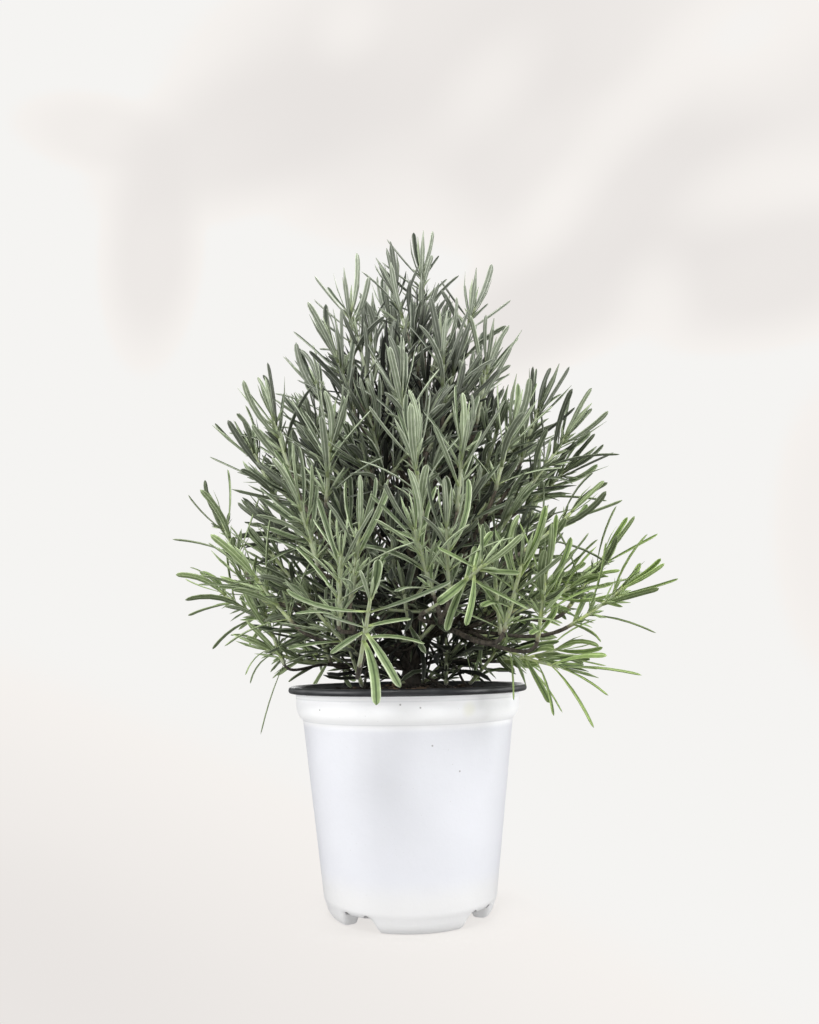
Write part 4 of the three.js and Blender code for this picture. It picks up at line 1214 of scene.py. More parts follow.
def clear_leaves(lines, owner, crowd, margin, rim):
    """Which of these midlines keep clear of the pot, the outline's box and all other growth."""
    a, b = lines[:, :-1], lines[:, 1:]
    clear = (np.abs(lines[:, -1]) <= (SIDE_REACH, DEPTH_REACH, TOP_REACH)).all(1)
    for points in ((a + b) / 2, b):
        near_pot = np.hypot(points[..., 0], points[..., 1]) < LIP_RADIUS + rim
        clear &= ~(near_pot & (points[..., 2] < POT_HEIGHT + rim)).any(1)
    near = crowd.near(lines.min((0, 1)), lines.max((0, 1)))
    if len(near):
        sibling = crowd.owners[near] == owner
        least = np.where(sibling, SIBLING_CLEARANCE, crowd.radii[near] + margin)
        counts = ~sibling | (crowd.outer[near] & (np.arange(a.shape[1]) > 0)[:, None])
        apart = stretch_distances(a, b, crowd.starts[near], crowd.ends[near])
        clear &= ~((apart < least) & counts).any((1, 2))
    return clear


def stem_frame(shoot, share):
    """The stem's centre and axis at a share of its length, and the ways across it from its phase."""
    centre = curve_point(shoot["corners"], share)
    axis = curve_heading(shoot["corners"], share)
    across = unit(shoot["across"] - axis * (shoot["across"] @ axis))
    third = np.cross(axis, across)

    def out_at(turn):
        return across * math.cos(shoot["phase"] + turn) + third * math.sin(shoot["phase"] + turn)

    return centre, axis, out_at


def leaf_pairs(shoot, pairs):
    """Each pair's distance below the tip and its two leaves, as they were seen or else as drawn."""
    if shoot["number"] in SEEN_LEAVES:
        return SEEN_LEAVES[shoot["number"]]
    draw = shoot["draw"]
    fan = 1 - FAN_CLOSING * share_of(shoot["tip"][2] - FAN_LOW, FAN_HIGH - FAN_LOW)
    drawn = []
    for k, (below, pair_length, root_angle, tip_angle) in enumerate(pairs):
        leaves = []
        for _ in range(2):
            turn = spread(draw, TURN_SPREAD)
            opening = spread(draw, OPENING_SPREAD)
            length = pair_length * (1 + spread(draw, LENGTH_SPREAD))
            width = TOP_LEAF_WIDTH if k == 0 else LEAF_WIDTH * (1 + spread(draw, WIDTH_SPREAD))
            leaves.append((turn, root_angle * fan + opening, tip_angle * fan + opening, length, width))
        drawn.append((below, leaves))
    return drawn


def grow_leaves(shoot, pairs, crowd, margin, rim=POT_CLEARANCE):
    """A leaf that would touch another is turned, opened or shortened a little until it is clear."""
    for k, (below, leaves) in enumerate(leaf_pairs(shoot, pairs)):
        share = 1 - below / shoot["length"]
        centre, axis, out_at = stem_frame(shoot, share)
        for face, (turn, root_angle, tip_angle, length, width) in zip((k % 2, k % 2 + 2), leaves):
            root = centre + out_at(math.radians(90 * face)) * STEM_RADIUS * ROOT_DEPTH_SHARE
            sag = LEAF_SAG + LOW_SAG * shoot["low"]
            for some in (LEAF_TRIES[:1], LEAF_TRIES[1:7], LEAF_TRIES[7:]):
                turned, opened, shortened = np.array(some, float).T
                outs = np.array([out_at(math.radians(90 * face + turn + more)) for more in turned])
                opens = opened[:, None]
                headings = leaf_headings(
                    axis, outs[:, None], None, root_angle + opens, tip_angle + opens, sag, None,
                    np.broadcast_to(STATION_MIDDLES, (len(some), len(STATION_MIDDLES))))
                steps = headings * (length * shortened)[:, None, None] * STATION_STEPS[:, None]
                lines = np.concatenate([np.zeros((len(some), 1, 3)), np.cumsum(steps, 1)], 1) + root
                clear = clear_leaves(lines, shoot["number"], crowd, margin, rim)
                if clear.any():
                    i = int(np.argmax(clear))
                    shoot["leaves"].append({
                        "root": root, "axis": axis, "out": outs[i], "side": np.cross(axis, outs[i]),
                        "length": length * shortened[i], "width": width,
                        "root_angle": root_angle + opened[i],
                        "tip_angle": tip_angle + opened[i],
                        "sag": sag,
                    })
                    for j in range(len(STATION_STEPS)):
                        crowd.add(lines[i, j], lines[i, j + 1], width / 2, shoot["number"], j > 0)
                    break


crowd = Crowd()
for point in wood_points:
    if point["before"] >= 0:
        crowd.add(wood_points[point["before"]]["at"], point["at"], point["radius"], -1)
for shoot in shoots:
    crowd.add(shoot["start"], shoot["tip"], STEM_RADIUS + STEM_MARGIN, shoot["number"])
for shoot in shoots:
    grow_leaves(shoot, LEAF_PAIRS, crowd, LEAF_WIDTH / 2 + LEAF_CLEARANCE)

# A leaf's section in half widths, anticlockwise seen from its tip, and how far each point lies under,
# then the same for a small leaf, and the shares of a leaf's length at which its rings stand.
LEAF_SECTION = np.array([
    (0, -0.03), (-0.5, 0.15), (-1, -0.12), (-0.62, -0.32),
    (0, -0.42), (0.62, -0.32), (1, -0.12), (0.5, 0.15),
])
SECTION_UNDER = np.array([0, 0, 0.35, 1, 1, 1, 0.35, 0])
SMALL_SECTION = np.array([
    (0, 0.02), (-0.95, 0.02), (-0.6, -0.35), (0, -0.45), (0.6, -0.35), (0.95, 0.02),
])
SMALL_UNDER = np.array([0, 0.3, 1, 1, 1, 0.3])
LEAF_RINGS = np.array([0, 0.1, 0.24, 0.42, 0.6, 0.77, 0.89, 0.96, 1.0])
INNER_RINGS = np.array([0, 0.16, 0.4, 0.66, 0.86, 1.0])
SMALL_RINGS = np.array([0, 0.3, 0.65, 1.0])
NECK_WIDTH = 0.46
WIDEST_SHARE = 0.5
TIP_TAPER = 0.10
TIP_SHARE = 0.12
TIP_WIDTH = 0.15
LEAST_DEPTH = 0.5
STEM_SIDES = 8
STEM_RINGS = 12
STEM_RIBS = 0.14
NODE_SWELL = 0.25
NODE_SHARPNESS = 18
GREEN_STEM_SHARE = 0.85
GREEN_STEM_TAPER = 0.3

# Small leaves round the growing tip, and between the pairs of the upper shoots: distance below the
# tip, length, angles off the stem at root and tip, width.
BUD_PAIRS = [(0.9, 24, 14, 1, 2.7), (0.3, 14, 8, -3, 2.0)]
BETWEEN_PAIRS = [(4.5, 34, 22, 6, 3.6), (11.5, 38, 28, 18, 3.8)]
BETWEEN_LOWEST = 290
BUD_SAG = 0.05

# How small leaves differ: degrees of turn and of opening, and their least and extra share of length.
SMALL_LENGTHS = (0.85, 0.3)
SMALL_ROOT_DEPTH = 0.5
BUD_TURN_SPREAD = 30
BUD_ROOT_SPREAD = 6
BETWEEN_TURN_SPREAD = 24
BETWEEN_ROOT_SPREAD = 8
BETWEEN_TIP_SPREAD = 10

# The tufts in the axils: least and greatest length, how far above the pair they start, each leaf's
# turn about the tuft and its share of the tuft's length, and the share of axils that have a tuft.
# A tuft's lean, width and angles are given as the least and the extra that is drawn.
TUFT_LENGTH = (8, 24)
TUFT_WIDTH = 2.3
TUFT_WIDTHS = (0.7, 0.3)
TUFT_RISE = 1.5
TUFT_ROOT_DEPTH = 0.8
TUFT_TURN_SPREAD = 12
TUFT_LEAF_SPREAD = 30
TUFT_LEAN = (22, 14)
TUFT_ROOT_ANGLES = (12, 16)
TUFT_TIP_ANGLES = (14, 30)
TUFT_SAG_SHARE = 0.6
TUFT_LEAVES = ((90, 1.0), (-90, 0.95), (0, 0.7), (180, 0.6))
TUFT_SHARE = 0.8
SEEN_TUFT_SHARES = {FRONT_SHOOT: 0.1, STAR_SHOOT: 0.25, LOW_RIGHT_SHOOT: 0.2, LOW_LEFT_SHOOT: 0.3}

# How much leaves differ in the bend along their length, the twist and the curl of their tips.
SMALL_BEND = 0.3
SMALL_TWIST = 0.6
LEAF_TWIST = 0.7
OUTER_CURL = 30
SEEN_BEND = 0.5
OUTER_BEND = 0.85
OUTER_LOW_BEND = 0.4
LOOK_SEED = 9000


def small_leaf(root, axis, out, length, width, root_angle, tip_angle, sag, draw):
    return {
        "root": root, "axis": axis, "out": out, "side": np.cross(axis, out), "length": length,
        "width": width, "root_angle": root_angle, "tip_angle": tip_angle, "sag": sag,
        "bend": spread(draw, SMALL_BEND), "twist": spread(draw, SMALL_TWIST),
        "tone": draw(), "young": 1.0,
    }


def bud_leaves(shoot, draw):
    """The small leaves that stand close together round the growing tip."""
    leaves = []
    for k, (below, length, root_angle, tip_angle, width) in enumerate(BUD_PAIRS):
        centre, axis, out_at = stem_frame(shoot, 1 - below / shoot["length"])
        for face in ((k + 1) % 2, (k + 1) % 2 + 2):
            out = out_at(math.radians(90 * face + spread(draw, BUD_TURN_SPREAD)))
            leaves.append(small_leaf(
                centre + out * STEM_RADIUS * SMALL_ROOT_DEPTH, axis, out,
                length * (SMALL_LENGTHS[0] + SMALL_LENGTHS[1] * draw()), width,
                root_angle + spread(draw, BUD_ROOT_SPREAD), tip_angle, BUD_SAG, draw))
    return leaves


def between_leaves(shoot, draw):
    """Leaves that fill an upper shoot's fan, turned half way between its full pairs."""
    leaves = []
    for k, (below, length, root_angle, tip_angle, width) in enumerate(BETWEEN_PAIRS):
        centre, axis, out_at = stem_frame(shoot, 1 - below / shoot["length"])
        for face in (k % 2 + 0.5, k % 2 + 2.5):
            out = out_at(math.radians(90 * face + spread(draw, BETWEEN_TURN_SPREAD)))
            leaf = small_leaf(
                centre + out * STEM_RADIUS * SMALL_ROOT_DEPTH, axis, out,
                length * (SMALL_LENGTHS[0] + SMALL_LENGTHS[1] * draw()), width,
                root_angle + spread(draw, BETWEEN_ROOT_SPREAD),
                tip_angle + spread(draw, BETWEEN_TIP_SPREAD), LEAF_SAG, draw)
            leaf["young"] = 0.0
            leaves.append(leaf)
    return leaves


def tuft_leaves(shoot, pairs, draw, share_of_axils):
    """The small side tufts that start in the angles between the stem and its leaves."""
    leaves = []
    for k, (below, *_) in enumerate(pairs):
        if k == 0:
            continue
        centre, axis, out_at = stem_frame(shoot, 1 - (below - TUFT_RISE) / shoot["length"])
        for face in (k % 2, k % 2 + 2):
            if draw() > share_of_axils:
                continue
            out = out_at(math.radians(90 * face + spread(draw, TUFT_TURN_SPREAD)))
            lean = math.radians(TUFT_LEAN[0] + TUFT_LEAN[1] * draw())
            own_axis = unit(axis * math.cos(lean) + out * math.sin(lean))
            own_side = unit(np.cross(own_axis, out))
            own_out = np.cross(own_side, own_axis)
            size = TUFT_LENGTH[0] + (TUFT_LENGTH[1] - TUFT_LENGTH[0]) * draw() * min(k / 3, 1)
            root = centre + out * STEM_RADIUS * TUFT_ROOT_DEPTH
            sag = LEAF_SAG + TUFT_SAG_SHARE * LOW_SAG * shoot["low"]
            for turn, length in TUFT_LEAVES:
                turned = math.radians(turn + spread(draw, TUFT_LEAF_SPREAD))
                way = own_out * math.cos(turned) + own_side * math.sin(turned)
                leaves.append(small_leaf(
                    root, own_axis, way, size * length * (SMALL_LENGTHS[0] + SMALL_LENGTHS[1] * draw()),
                    TUFT_WIDTH * (TUFT_WIDTHS[0] + TUFT_WIDTHS[1] * size / TUFT_LENGTH[1]),
                    TUFT_ROOT_ANGLES[0] + TUFT_ROOT_ANGLES[1] * draw(),
                    TUFT_TIP_ANGLES[0] + TUFT_TIP_ANGLES[1] * draw(), sag, draw))
    return leaves


def finish_leaves(shoot, draw, width_share, light, curl, bend):
    """The bend, twist, curl and tone that a full leaf gets besides its CAD line; the tone is a random
    draw with painted shade added.
    """
    for leaf in shoot["leaves"]:
        leaf["width"] *= width_share
        leaf["bend"] = spread(draw, bend)
        leaf["twist"] = spread(draw, LEAF_TWIST)
        leaf["tip_angle"] += spread(draw, curl)
        leaf["tone"] = draw() + light
        leaf["young"] = 0.0


def leaf_meshes(leaves, rings, section, under, green):
    """All the leaves' points, faces and the values that their finish reads, in one go."""
    sizes = {key: np.array([leaf[key] for leaf in leaves], float)[:, None] for key in (
        "length", "width", "root_angle", "tip_angle", "sag", "bend", "twist", "tone", "young")}
    ways = {key: np.array([leaf[key] for leaf in leaves])[:, None, :] for key in (
        "root", "axis", "out", "side")}
    headings = leaf_headings(
        ways["axis"], ways["out"], ways["side"], sizes["root_angle"], sizes["tip_angle"],
        sizes["sag"], sizes["bend"], (rings[1:] + rings[:-1]) / 2)
    steps = headings * (sizes["length"] * np.diff(rings))[..., None]
    lines = np.concatenate([ways["root"], ways["root"] + np.cumsum(steps, axis=1)], axis=1)
    between = headings[:, 1:] + headings[:, :-1]
    ahead = np.concatenate([headings[:, :1], between, headings[:, -1:]], axis=1)
    ahead /= np.linalg.norm(ahead, axis=2, keepdims=True)
    upper = np.cross(ahead, np.broadcast_to(ways["side"], ahead.shape))
    upper /= np.linalg.norm(upper, axis=2, keepdims=True)
    across = np.cross(upper, ahead)
    twists = (sizes["twist"] * rings)[..., None]
    across, upper = (across * np.cos(twists) + upper * np.sin(twists),
                     upper * np.cos(twists) - across * np.sin(twists))
    rise = np.clip(rings / WIDEST_SHARE, 0, 1)
    shape = NECK_WIDTH + (1 - NECK_WIDTH) * rise * rise * (3 - 2 * rise) - TIP_TAPER * rings ** 3
    end = np.clip((rings - (1 - TIP_SHARE)) / TIP_SHARE, 0, 1)
    shape = shape * np.maximum(np.sqrt(1 - end * end), TIP_WIDTH)
    halves = (sizes["width"] / 2 * shape)[..., None, None]
    depths = (sizes["width"] / 2 * np.maximum(shape, LEAST_DEPTH * (1 - end)))[..., None, None]
    points = (lines[:, :, None, :]
              + across[:, :, None, :] * section[:, 0, None] * halves
              + upper[:, :, None, :] * section[:, 1, None] * depths)
    grid = points.shape[:3]
    form = np.stack(np.broadcast_arrays(
        section[None, None, :, 0], rings[None, :, None], under[None, None, :]), axis=-1)
    form = np.broadcast_to(form, (*grid, 3))
    look = np.stack(np.broadcast_arrays(
        green[:, None, None], sizes["tone"][..., None], sizes["young"][..., None]), axis=-1)
    look = np.broadcast_to(look, (*grid, 3))
    faces = ring_skin_faces(len(leaves), len(rings), len(section))
    return points.reshape(-1, 3), faces, form.reshape(-1, 3), look.reshape(-1, 3)


def stem_mesh(corners, radius, taper, nodes, green, rings=STEM_RINGS):
    """A square green stem along its curve, a little swollen where the leaf pairs stand."""
    shares = np.linspace(0, 1, rings)
    path = np.array([curve_point(corners, share) for share in shares])
    _, firsts, seconds = framed(path)
    radii = radius * (1 - taper * shares)
    for node in nodes:
        radii = radii * (1 + NODE_SWELL * np.exp(-((shares - node) * NODE_SHARPNESS) ** 2))
    turns = np.linspace(0, 2 * math.pi, STEM_SIDES, endpoint=False)
    ribs = 1 + STEM_RIBS * np.cos(4 * turns)
    outs = firsts[:, None] * np.cos(turns)[:, None] + seconds[:, None] * np.sin(turns)[:, None]
    points = path[:, None] + outs * (radii[:, None] * ribs)[..., None]
    points = points.reshape(-1, 3)
    form = np.stack([np.zeros(len(points)), np.repeat(shares, STEM_SIDES), np.zeros(len(points))], 1)
    look = np.tile([green, 0.5, 0.0], (len(points), 1))
    return points, ring_skin_faces(1, rings, STEM_SIDES), form, look


def join_skins(name, skins, slots, materials):
    """One mesh object from several skins, each in its own slot of the finishes."""
    count = 0
    faces = []
    face_slots = []
    for skin, slot in zip(skins, slots):
        faces.append(skin[1] + count)
        face_slots.append(np.full(len(skin[1]), slot))
        count += len(skin[0])
    return mesh_piece(
        name, np.concatenate([skin[0] for skin in skins]), np.concatenate(faces), materials,
        np.concatenate(face_slots), {
            "leaf_form": np.concatenate([skin[2] for skin in skins]),
            "leaf_look": np.concatenate([skin[3] for skin in skins]),
        })


# Leaves get greener down from a height and out from the axis to the right and to the left, and get
# painted shade at the sides above the low light, and towards the top. Each has its start and its span.
GREEN_TOP = (400, 190)
GREEN_RIGHT = (25, 85)
GREEN_LEFT = (40, 90)
GREEN_SHARES = {"least": 0.06, "low": 0.34, "right": 0.62, "left": 0.46}
GREEN_VARIETY = 0.25
SIDE_SHADE = 0.52
SIDE_SHADE_REACH = (40, 70)
LOW_LIGHT = (200, 90)
TOP_SHADE = 0.36
TOP_SHADE_RISE = (270, 110)

# Leaf and stem colours, first at the top of the plant and then low down, where it is greener.
LEAF_TOP = ((0.116, 0.138, 0.099), (0.108, 0.162, 0.036))
# The groove's colour is painted shade, and the margin's is the pale rolled margin with a painted
# highlight.
LEAF_GROOVE_SHADE = ((0.026, 0.035, 0.021), (0.036, 0.064, 0.013))
LEAF_MARGIN_AND_HIGHLIGHT = ((0.440, 0.470, 0.390), (0.240, 0.315, 0.112))
LEAF_FELT = ((0.176, 0.198, 0.152), (0.132, 0.186, 0.058))
LEAF_PALE = ((0.440, 0.465, 0.390), (0.290, 0.365, 0.158))
STEM_GREEN = ((0.250, 0.285, 0.190), (0.470, 0.560, 0.190))
LEAF_BASE = (0.36, 0.43, 0.17)
YOUNG_LEAF = (0.38, 0.45, 0.27)
YOUNG_SHARE = 0.35
STEM_WOODY = (0.205, 0.165, 0.105)
STEM_PALE = (0.36, 0.40, 0.27)
PLAIN_LEAF = (0.2, 0.25, 0.16)
PLAIN_STEM = (0.3, 0.36, 0.17)
LEAF_ROUGHNESS = 0.62
STEM_ROUGHNESS = 0.6

# Where a leaf's bands begin and are full: across its half width, round its section from its upper
# side to its under side, and along it from its base, with the strength of the pale base.
GROOVE_SHADE_BAND = (0.03, 0.34)
MARGIN_AND_HIGHLIGHT_BAND = (0.64, 0.90)
RIB_BAND = (0.0, 0.22)
UNDER_MARGIN_BAND = (0.70, 1.0)
UNDER_BAND = (0.3, 0.75)
BASE_BAND = (0.0, 0.22, 0.6, 0.0)
WOODY_BAND = (0.0, 0.16)

# The tones that leaves are given, each a random draw with painted shade added, and the brightness that
# these stand for, then the leaf's mottling.
TONE_RANGE = (-1.3, 1.35, 0.02, 1.90)
LEAF_MOTTLE = (260, 4.0, 0.55, 0.25, 0.75)
MOTTLE_RANGE = (0.85, 1.15)
LEAF_RELIEF = (2600, 3.0, 0.6, 0.00025, 0.55)
STEM_BLOOM = (300, 3.0, 0.55, 0.3, 0.7)
STEM_RELIEF = (2000, 3.0, 0.55, 0.0002, 0.5)
LEAF_SHEEN = 0.07
LEAF_SHEEN_ROUGHNESS = 0.45
LEAF_SHEEN_TINT = (0.92, 0.95, 0.88, 1)
LEAF_GLOSS = 0.27
STEM_SHEEN = 0.2


def greenness(place):
    """How green the leaves are: greyer at the top, greener low down, most on the low right."""
    low = share_of(GREEN_TOP[0] - place[2], GREEN_TOP[1])
    right = share_of(place[0] - GREEN_RIGHT[0], GREEN_RIGHT[1])
    left = share_of(-place[0] - GREEN_LEFT[0], GREEN_LEFT[1])
    across = GREEN_SHARES["low"] + GREEN_SHARES["right"] * right + GREEN_SHARES["left"] * left
    return share_of(GREEN_SHARES["least"] + low * across, 1)


def side_shade(place):
    """How much painted shade darkens the leaves at the plant's sides and towards its top."""
    side = share_of(abs(place[0]) - SIDE_SHADE_REACH[0], SIDE_SHADE_REACH[1])
    side *= share_of(place[2] - LOW_LIGHT[0], LOW_LIGHT[1])
    top = share_of(place[2] - TOP_SHADE_RISE[0], TOP_SHADE_RISE[1])
    return -max(SIDE_SHADE * side, TOP_SHADE * top)


def leaf_finish():
    """Felted leaf: grey-green, painted shade in its groove, paler rolled margins with a painted
    highlight, and a pale silvery underside.
    """
    material, tree, shader = plain_finish("felted_leaf", PLAIN_LEAF, LEAF_ROUGHNESS)
    form = looked_up(tree, "leaf_form")
    look = looked_up(tree, "leaf_look")
    across = worked_out(tree, "ABSOLUTE", form["X"])
    top, groove, margin, felt, pale = (mixed(tree, look["X"], *colours) for colours in (
        LEAF_TOP, LEAF_GROOVE_SHADE, LEAF_MARGIN_AND_HIGHLIGHT, LEAF_FELT, LEAF_PALE))
    # Painted shade in the groove along the rib, and a painted highlight on the pale rolled margins.
    upper = mixed(tree, ranged(tree, across, *GROOVE_SHADE_BAND), groove, top)
    upper = mixed(tree, ranged(tree, across, *MARGIN_AND_HIGHLIGHT_BAND), upper, margin)
    under = mixed(tree, ranged(tree, across, *RIB_BAND), pale, felt)
    under = mixed(tree, ranged(tree, across, *UNDER_MARGIN_BAND), under, pale)
    sides = mixed(tree, ranged(tree, form["Z"], *UNDER_BAND), upper, under)
    rooted = mixed(tree, ranged(tree, form["Y"], *BASE_BAND), sides, LEAF_BASE)
    young = mixed(tree, look["Z"], rooted, mixed(tree, YOUNG_SHARE, rooted, YOUNG_LEAF))
    mottled = patches(tree, LEAF_MOTTLE, *MOTTLE_RANGE)
    # The tone sets the leaf's brightness, and carries the painted shade of the sides, top and inside of
    # the bush.
    shade = worked_out(tree, "MULTIPLY", ranged(tree, look["Y"], *TONE_RANGE), mottled)
    toned = add_node(tree, "ShaderNodeVectorMath", {0: young, 3: shade}, operation="SCALE")
    tree.links.new(toned.outputs[0], shader.inputs["Base Color"])
    shader.inputs["Sheen Weight"].default_value = LEAF_SHEEN
    shader.inputs["Sheen Roughness"].default_value = LEAF_SHEEN_ROUGHNESS
    shader.inputs["Sheen Tint"].default_value = LEAF_SHEEN_TINT
    shader.inputs["Specular IOR Level"].default_value = LEAF_GLOSS
    bump(tree, shader, LEAF_RELIEF)
    return material


def stem_finish():
    """Green stem with a pale bloom in patches, woody where it goes on from its twig."""
    material, tree, shader = plain_finish("green_stem", PLAIN_STEM, STEM_ROUGHNESS)
    green = mixed(tree, looked_up(tree, "leaf_look")["X"], *STEM_GREEN)
    along = looked_up(tree, "leaf_form")["Y"]
    woody = mixed(tree, ranged(tree, along, *WOODY_BAND), STEM_WOODY, green)
    bloomed = mixed(tree, patches(tree, STEM_BLOOM), woody, STEM_PALE)
    tree.links.new(bloomed, shader.inputs["Base Color"])
    shader.inputs["Sheen Weight"].default_value = STEM_SHEEN
    bump(tree, shader, STEM_RELIEF)
    return material


def shoot_skins(
        shoot, pairs, draw, share_of_axils, curl, bend, rings=LEAF_RINGS, width_share=1.0, light=0.0):
    """The skins of a shoot's stem, its full leaves and its small leaves, with the slot of each."""
    green = greenness(shoot["tip"])
    # Painted shade at the plant's sides and top, which is added to the tones of all its leaves.
    light += side_shade(shoot["tip"])
    finish_leaves(shoot, draw, width_share, light, curl, bend)
    small = bud_leaves(shoot, draw) + tuft_leaves(shoot, pairs, draw, share_of_axils)
    if shoot["tip"][2] > BETWEEN_LOWEST:
        small += between_leaves(shoot, draw)
    for leaf in small:
        leaf["tone"] += light
    nodes = [1 - below / shoot["length"] for below, *_ in pairs]
    leaves = shoot["leaves"]
    tones_with_shade = np.array([leaf["tone"] for leaf in leaves])
    greens = np.clip(green + GREEN_VARIETY * (tones_with_shade - 0.5), 0, 1)
    small_greens = np.full(len(small), green)
    return [
        stem_mesh(shoot["corners"], STEM_RADIUS * GREEN_STEM_SHARE, GREEN_STEM_TAPER, nodes, green),
        leaf_meshes(leaves, rings, LEAF_SECTION, SECTION_UNDER, greens),
        leaf_meshes(small, SMALL_RINGS, SMALL_SECTION, SMALL_UNDER, small_greens),
    ], [1, 0, 0]


leaf_materials = [leaf_finish(), stem_finish()]
for shoot in shoots:
    number = shoot["number"]
    draw = seeded_draw(LOOK_SEED + SEED_STEP * number)
    pairs = SEEN_LEAVES.get(number, LEAF_PAIRS)
    curl = 0 if number in SEEN_LEAVES else OUTER_CURL
    tufted = SEEN_TUFT_SHARES.get(number, TUFT_SHARE)
    bend = SEEN_BEND if number in SEEN_LEAVES else OUTER_BEND + OUTER_LOW_BEND * shoot["low"]
    skins, slots = shoot_skins(shoot, pairs, draw, tufted, curl, bend)
    piece = join_skins("leaves_%02d" % (number + 1), skins, slots, leaf_materials)
    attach(piece, "root")
    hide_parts("leafy_shoot_%02d" % (number + 1))


# Inner shoots
# The many other shoots that make the bush dense: the same stems and leaves, a little smaller, which
# stand between the outer shoots and grow from the nearest wood on thin twigs.

# Where their tips may be drawn: heights, shares of the bush's radius, how much less far out they
# reach in front and near the rim of the pot, and their spacing, which is wider below a level.
INNER_TRIES = 3000
INNER_LEVELS = (166, 446)
INNER_LEAST_RADIUS = 6
INNER_REACH = (0.25, 0.97)
INNER_FRONT_REACH = 0.32
INNER_WAIST = (166, 215)
INNER_WAIST_SHARE = 0.35
INNER_SPACING = 26.8
INNER_SPACING_FROM_OUTER = 20
INNER_LOW_SPACING = 1.15
INNER_LOW_LEVEL = 200

# How they stand: their length, and how far their headings wander, more below a level.
INNER_LENGTH = 46
INNER_LOWEST_START = 150
INNER_LEAN_SHARES = (0.35, 0.65)
INNER_WANDER = 0.8
INNER_LOW_WANDER = 1.2
INNER_WANDER_LEVEL = 230
INNER_SAG_SHARE = 0.85

# Their leaves, which keep less clear than the outer ones do, and get painted shade that is darker
# towards the axis.
INNER_MARGIN = 1.5
INNER_RIM = 1.5
INNER_FEWEST_LEAVES = 4
INNER_WIDTH_SHARE = 0.84
INNER_TUFT_SHARE = 0.35
INNER_CURL = 80
INNER_BEND = 1.6
INNER_SHADE = 2.4
INNER_SHADE_POWER = 1.2
INNER_DARK_REACH = 62

# Their twigs, whose cost counts the way on to the ground, and more when they are very short.
INNER_TWIG_RADIUS = 0.9
INNER_TWIG_TAPER = 0.1
INNER_TWIG_RINGS = 14
INNER_WAY_COST = 0.15
INNER_TWIG_LEAST = 8
INNER_SHORT_COST = 100
INNER_SEED = 60013
INNER_SEED_STEP = 31
INNER_FIRST_NUMBER = 1000
INNER_SECTORS = 8
INNER_PAIRS = [
    (1.5, 27, 18, 2), (6.5, 35, 27, 12), (13.5, 39, 34, 28), (22, 41, 40, 44),
    (31, 40, 46, 58), (41, 36, 52, 70),
]


def bush_radius(level):
    return max(outline_radius(level), INNER_LEAST_RADIUS)


def inner_places():
    """Tips drawn at random inside the outline, kept apart from each other and from the outer ones."""
    draw = seeded_draw(INNER_SEED)
    outer = np.array([shoot["tip"] for shoot in shoots])
    kept = []
    for _ in range(INNER_TRIES):
        level = INNER_LEVELS[0] + (INNER_LEVELS[1] - INNER_LEVELS[0]) * draw()
        reach = math.sqrt(INNER_REACH[0] ** 2 + (INNER_REACH[1] ** 2 - INNER_REACH[0] ** 2) * draw())
        turn = 2 * math.pi * draw()
        front = max(-math.sin(turn), 0) ** 2
        low = share_of(INNER_WAIST[1] - level, INNER_WAIST[1] - INNER_WAIST[0])
        radius = bush_radius(level) * reach * (1 - INNER_FRONT_REACH * front)
        radius *= 1 - INNER_WAIST_SHARE * low
        place = np.array([radius * math.cos(turn), radius * math.sin(turn), level])
        wander = np.array([draw() - 0.5, draw() - 0.5, draw() - 0.5])
        wander *= INNER_LOW_WANDER if level < INNER_WANDER_LEVEL else INNER_WANDER
        spacing = INNER_SPACING * (INNER_LOW_SPACING if level < INNER_LOW_LEVEL else 1)
        if np.linalg.norm(outer - place, axis=1).min() < INNER_SPACING_FROM_OUTER:
            continue
        others = np.array([one[0] for one in kept])
        if kept and np.linalg.norm(others - place, axis=1).min() < spacing:
            continue
        kept.append((place, reach, turn, wander))
    return kept


def inner_shoot(place, reach, turn, wander, number):
    """A shoot that leans out less the nearer it is to the axis, and starts above the pot's rim."""
    lean = lean_at(place[2]) * (INNER_LEAN_SHARES[0] + INNER_LEAN_SHARES[1] * reach)
    out = np.array([math.cos(turn), math.sin(turn), 0])
    heading = unit(out * math.sin(lean) + UP * math.cos(lean) + wander)
    rise = (place[2] - INNER_LOWEST_START) / INNER_LENGTH
    if heading[2] > rise:
        heading = unit(heading * (1, 1, 0)) * math.sqrt(1 - rise * rise) + UP * rise
    shoot = shoot_from(place - heading * INNER_LENGTH, place, number, INNER_LENGTH, INNER_SEED)
    shoot["low"] *= INNER_SAG_SHARE
    return shoot


def inner_twig(shoot, places, headings, ways):
    """A thin curved twig from the wood that costs least to the foot of the shoot."""
    direct = shoot["start"] - places
    spans = np.linalg.norm(direct, axis=1)
    last = curve_heading(shoot["corners"], 0)
    turns = np.arccos(np.clip((direct * headings).sum(1) / np.maximum(spans, NEARLY_NOTHING), -1, 1))
    ends = np.arccos(np.clip(direct @ last / np.maximum(spans, NEARLY_NOTHING), -1, 1))
    costs = spans + INNER_WAY_COST * ways + TURN_COST * (turns + ends) ** 2
    costs += np.where(spans < INNER_TWIG_LEAST, INNER_SHORT_COST, 0)
    i = int(np.argmin(costs))
    first = unit(unit(direct[i]) + headings[i])
    return (
        places[i],
        places[i] + first * spans[i] * TWIG_HANDLE,
        shoot["start"] - last * spans[i] * TWIG_HANDLE,
        shoot["start"],
    )


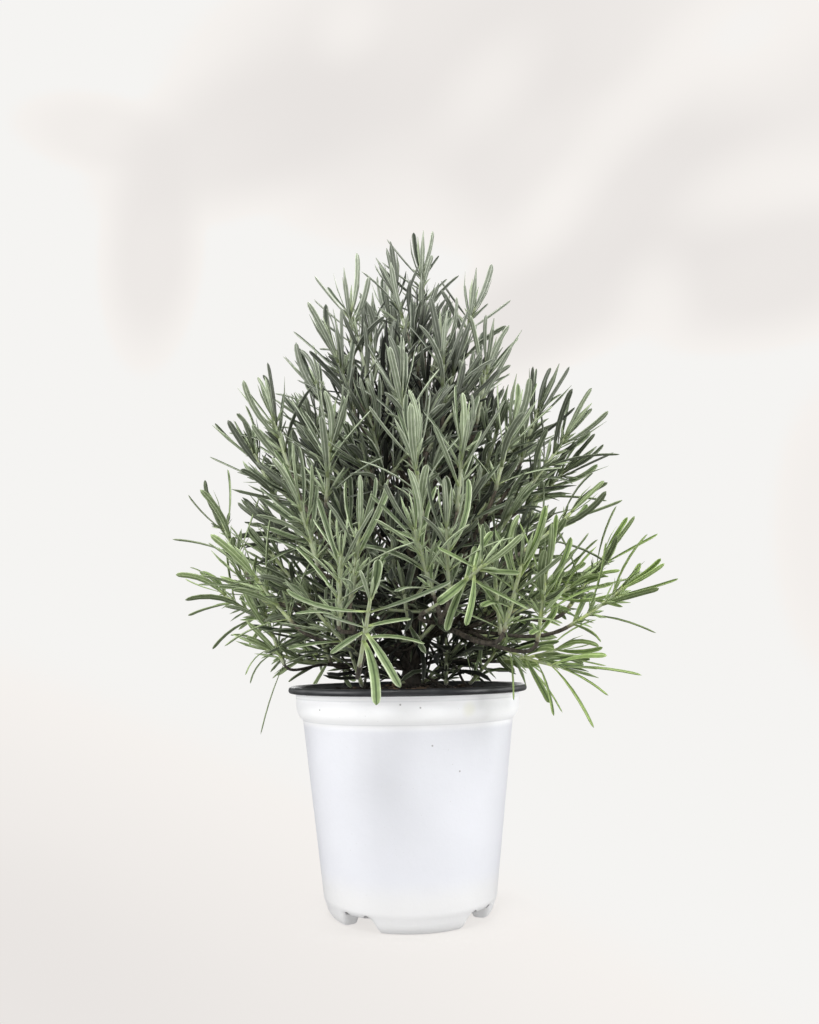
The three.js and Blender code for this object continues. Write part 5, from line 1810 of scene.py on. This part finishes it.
wood_above = [point for point in wood_points if point["at"][2] > TRUNK_LEVELS[1]]
wood_places = np.array([point["at"] for point in wood_above])
wood_headings = np.array([point["heading"] for point in wood_above])
wood_ways = np.array([point["way"] for point in wood_above])
sector_skins = [[] for _ in range(INNER_SECTORS)]
sector_slots = [[] for _ in range(INNER_SECTORS)]
twig_skins = []
for number, (place, reach, turn, wander) in enumerate(inner_places()):
    shoot = inner_shoot(place, reach, turn, wander, INNER_FIRST_NUMBER + number)
    if shoot["start"][2] < INNER_LOWEST_START:
        continue
    grow_leaves(shoot, INNER_PAIRS, crowd, INNER_MARGIN, INNER_RIM)
    if len(shoot["leaves"]) < INNER_FEWEST_LEAVES:
        continue
    crowd.add(shoot["start"], shoot["tip"], STEM_RADIUS, shoot["number"])
    draw = seeded_draw(INNER_SEED + INNER_SEED_STEP * number)
    # Painted shade: the deeper a shoot stands in the bush, the darker the tones of its leaves.
    radius = bush_radius(place[2])
    depth = 1 - share_of(math.hypot(place[0], place[1]), radius)
    light = -INNER_SHADE * share_of(radius, INNER_DARK_REACH) * depth ** INNER_SHADE_POWER
    curl = INNER_CURL * (0.5 + shoot["low"])
    bend = OUTER_BEND + INNER_BEND * shoot["low"]
    skins, slots = shoot_skins(
        shoot, INNER_PAIRS, draw, INNER_TUFT_SHARE, curl, bend, INNER_RINGS, INNER_WIDTH_SHARE, light)
    corners = inner_twig(shoot, wood_places, wood_headings, wood_ways)
    twig = stem_mesh(corners, INNER_TWIG_RADIUS, INNER_TWIG_TAPER, [], 0.0, INNER_TWIG_RINGS)
    twig_skins.append(twig)
    sector = int(turn / (2 * math.pi) * INNER_SECTORS) % INNER_SECTORS
    sector_skins[sector] += skins
    sector_slots[sector] += slots

for sector in range(INNER_SECTORS):
    piece = join_skins(
        "inner_leaves_%d" % (sector + 1), sector_skins[sector], sector_slots[sector], leaf_materials)
    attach(piece, "root")
twig_piece = join_skins("inner_twigs", twig_skins, [0] * len(twig_skins), [bark])
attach(twig_piece, "root")
